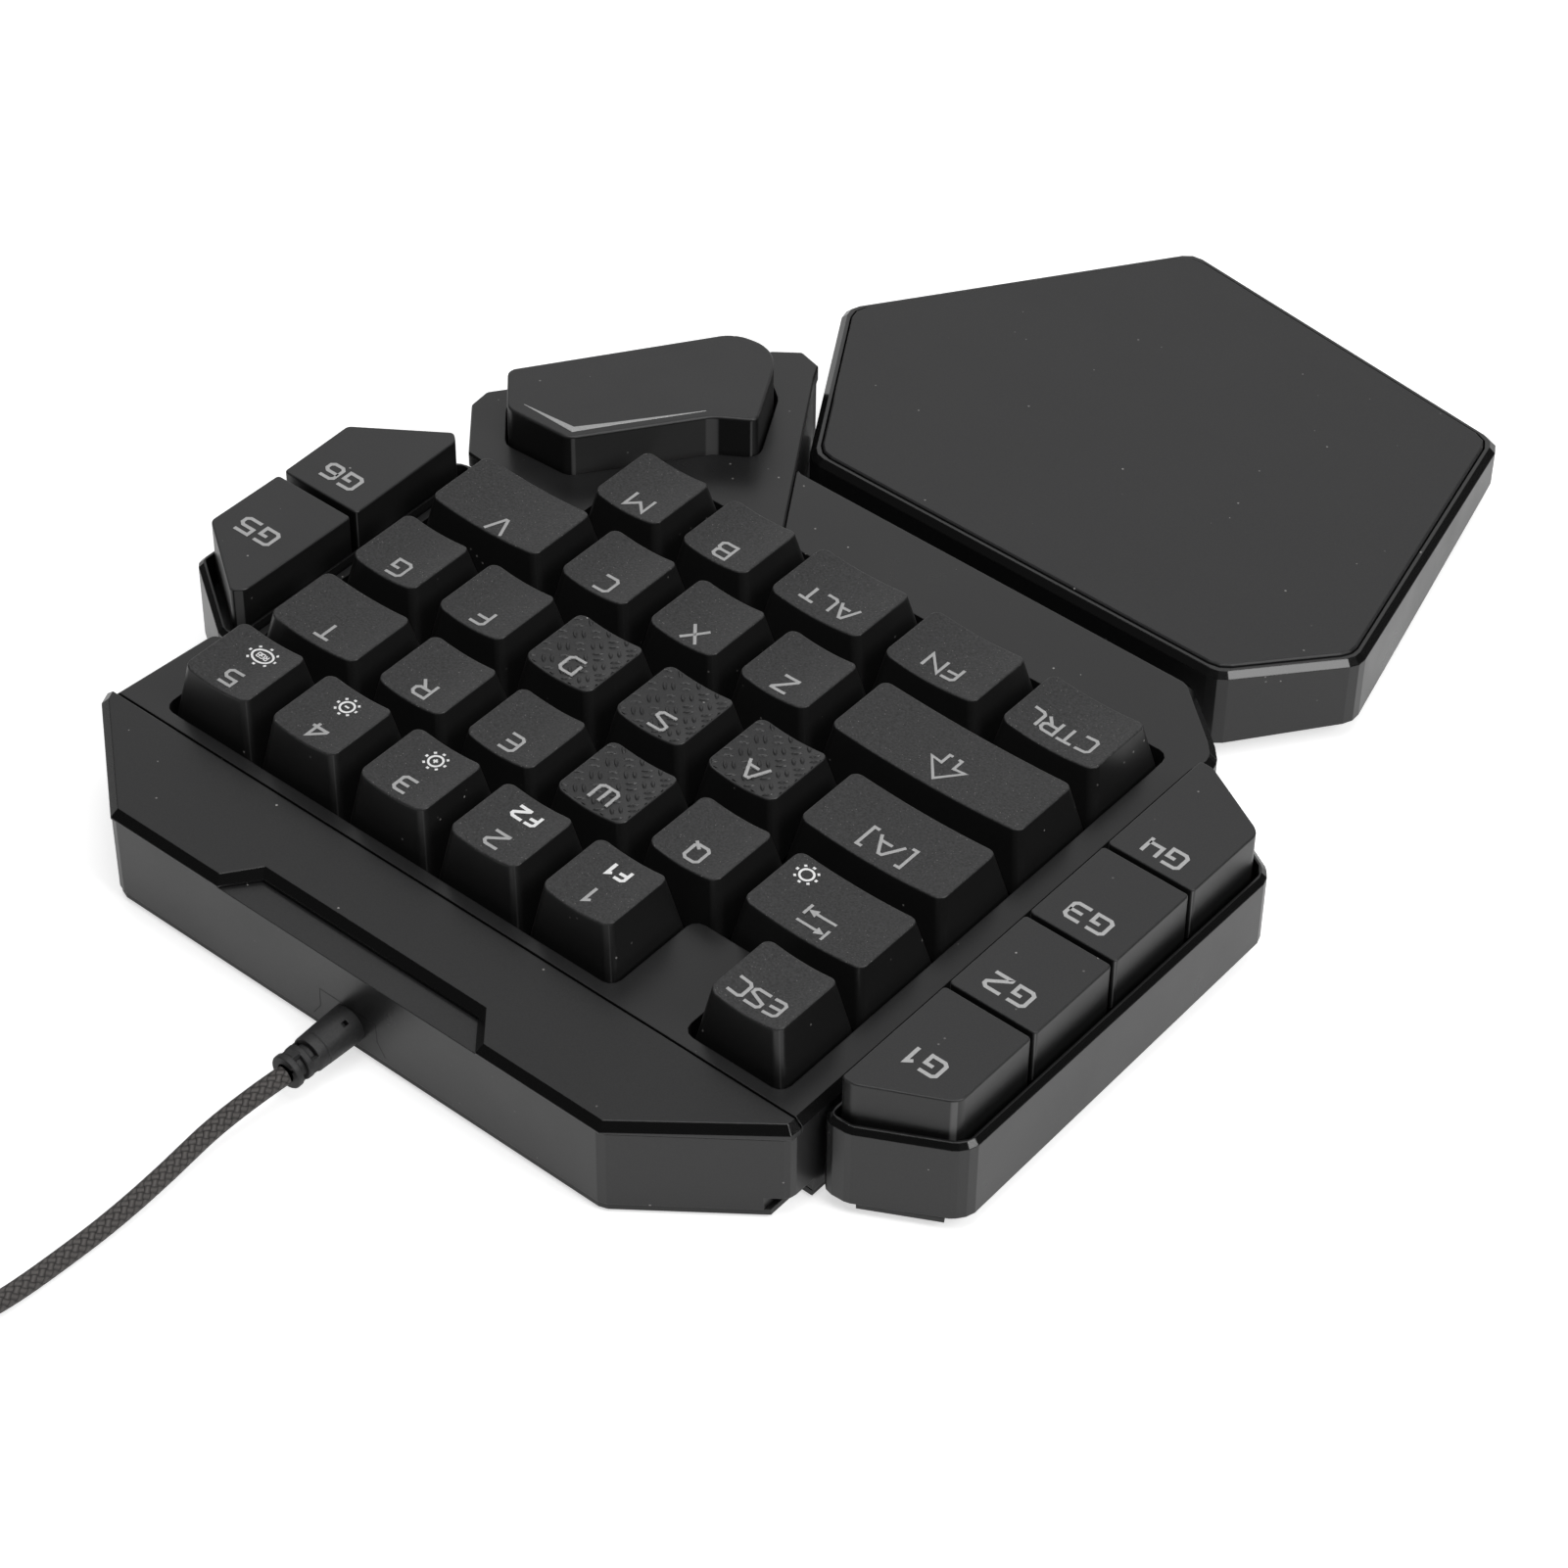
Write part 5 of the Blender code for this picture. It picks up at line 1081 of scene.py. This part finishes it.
# %% [markdown]
# Some parts never show in the picture, but they are there when the model is opened or turned over:
# the steel plate, the film with the contacts, the board, the feet and the plug.

# %% Inner parts, feet and plug
steel = plastic("plated_steel", (0.42, 0.42, 0.42), 0.32, 1800, 0.002 * MM, speckle=0.06,
                metallic=1.0)
film = plastic("contact_film", (0.42, 0.46, 0.44), 0.28, 900, 0.001 * MM, speckle=0.05)
mask_green = plastic("solder_mask", (0.012, 0.09, 0.035), 0.34, 1500, 0.002 * MM, speckle=0.2)
foot_rubber = plastic("foot_rubber", (0.016, 0.016, 0.016), 0.68, 3000, 0.012 * MM)
dress(steel, "support_plate", "plug_shell")
dress(film, "contact_membrane")
dress(mask_green, "controller_board")
feet = sorted(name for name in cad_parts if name.startswith("foot_"))
dress(foot_rubber, *feet)
shown = [n for name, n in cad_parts.items() if not n.hide_render]
bare = [n.name for n in shown if any(not s.material or not s.material.use_nodes or s.link == "DATA"
                                     for s in n.material_slots)]
print("feet:", len(feet), "- CAD nodes that show:", len(shown), "- still bare:", bare)

# %% [markdown]
# The floor is a wide white sheet. Its white is its colour, and a glow lifts it to full white for
# the camera, and less for mirror-like surfaces, while the keypad's soft shadow stays on it. The world
# is the studio round it: bright above the far side and dark behind the camera, which is what the
# polished chamfers show. A large soft light hangs above, and a small one at the left is for the
# wall of the left tray.

# %% Floor
EYE_GLOW, MIRROR_GLOW, FLOOR_HALF, FLOOR_DROP = 0.62, 0.29, 3.0, 0.02 * MM
shape = bmesh.new()
bmesh.ops.create_grid(shape, x_segments=1, y_segments=1, size=FLOOR_HALF)
moved(shape, shape.verts, (0, 0, -FLOOR_DROP))
floor_mesh = bpy.data.meshes.new("floor")
shape.to_mesh(floor_mesh)
shape.free()
floor = scene_object("floor", floor_mesh)
paper, tree, shader = new_material("studio_paper")
for label, value in (("Base Color", (0.82, 0.82, 0.82, 1)), ("Roughness", 0.9),
                     ("Specular IOR Level", 0.0), ("Emission Color", (1, 1, 1, 1))):
    shader[label].default_value = value
seen = place(tree, "ShaderNodeLightPath").outputs
by_eye = maths(tree, "MAXIMUM", seen["Is Camera Ray"], seen["Is Transmission Ray"])
feed(tree, shader["Emission Strength"], maths(
    tree, "ADD", maths(tree, "MULTIPLY", by_eye, EYE_GLOW),
    maths(tree, "MULTIPLY", seen["Is Glossy Ray"], MIRROR_GLOW)))
floor_mesh.materials.append(paper)
print("floor spans", round(floor.dimensions.x, 1), "m")

# %% Studio light
SKY_EDGE, SKY_GLOW, SKY_FAR, SKY_HIGH = (0.5, 0.85), (0.06, 0.9), 1.15, 0.25
world = bpy.data.worlds.new("studio")
bpy.context.scene.world = world
world.use_nodes = True
tree = world.node_tree
aim = place(tree, "ShaderNodeVectorMath", operation="DOT_PRODUCT")
feed(tree, aim.inputs[0], place(tree, "ShaderNodeTexCoord").outputs["Generated"])
aim.inputs[1].default_value = (-back.x * SKY_FAR, -back.y * SKY_FAR, SKY_HIGH)
sky = tree.nodes["Background"].inputs
sky["Color"].default_value = (1, 1, 1, 1)
feed(tree, sky["Strength"], ranged(tree, aim.outputs["Value"], *SKY_EDGE, *SKY_GLOW,
                                   interpolation_type="SMOOTHSTEP"))


def soft_light(name, place_m, aim_m, size, power):
    lamp = bpy.data.lights.new(name, "AREA")
    lamp.shape = "SQUARE"
    lamp.size = size
    lamp.energy = power
    holder = scene_object(name, lamp)
    holder.location = place_m
    holder.rotation_euler = (Vector(aim_m) - place_m).to_track_quat("-Z", "Y").to_euler()


far = Vector((-back.x, -back.y, 0)).normalized()
soft_light("top_softbox", far * -0.15 + Vector((0, 0, 1.3)), (0, 0, 0), 1.0, 9)
soft_light("side_softbox", Vector((-0.7, 0.02, 0.65)), (-0.063, -0.03, 0.018), 0.42, 3.7)
bpy.context.scene.view_settings.view_transform = "Standard"
print("world and", len(bpy.data.lights), "soft lights")
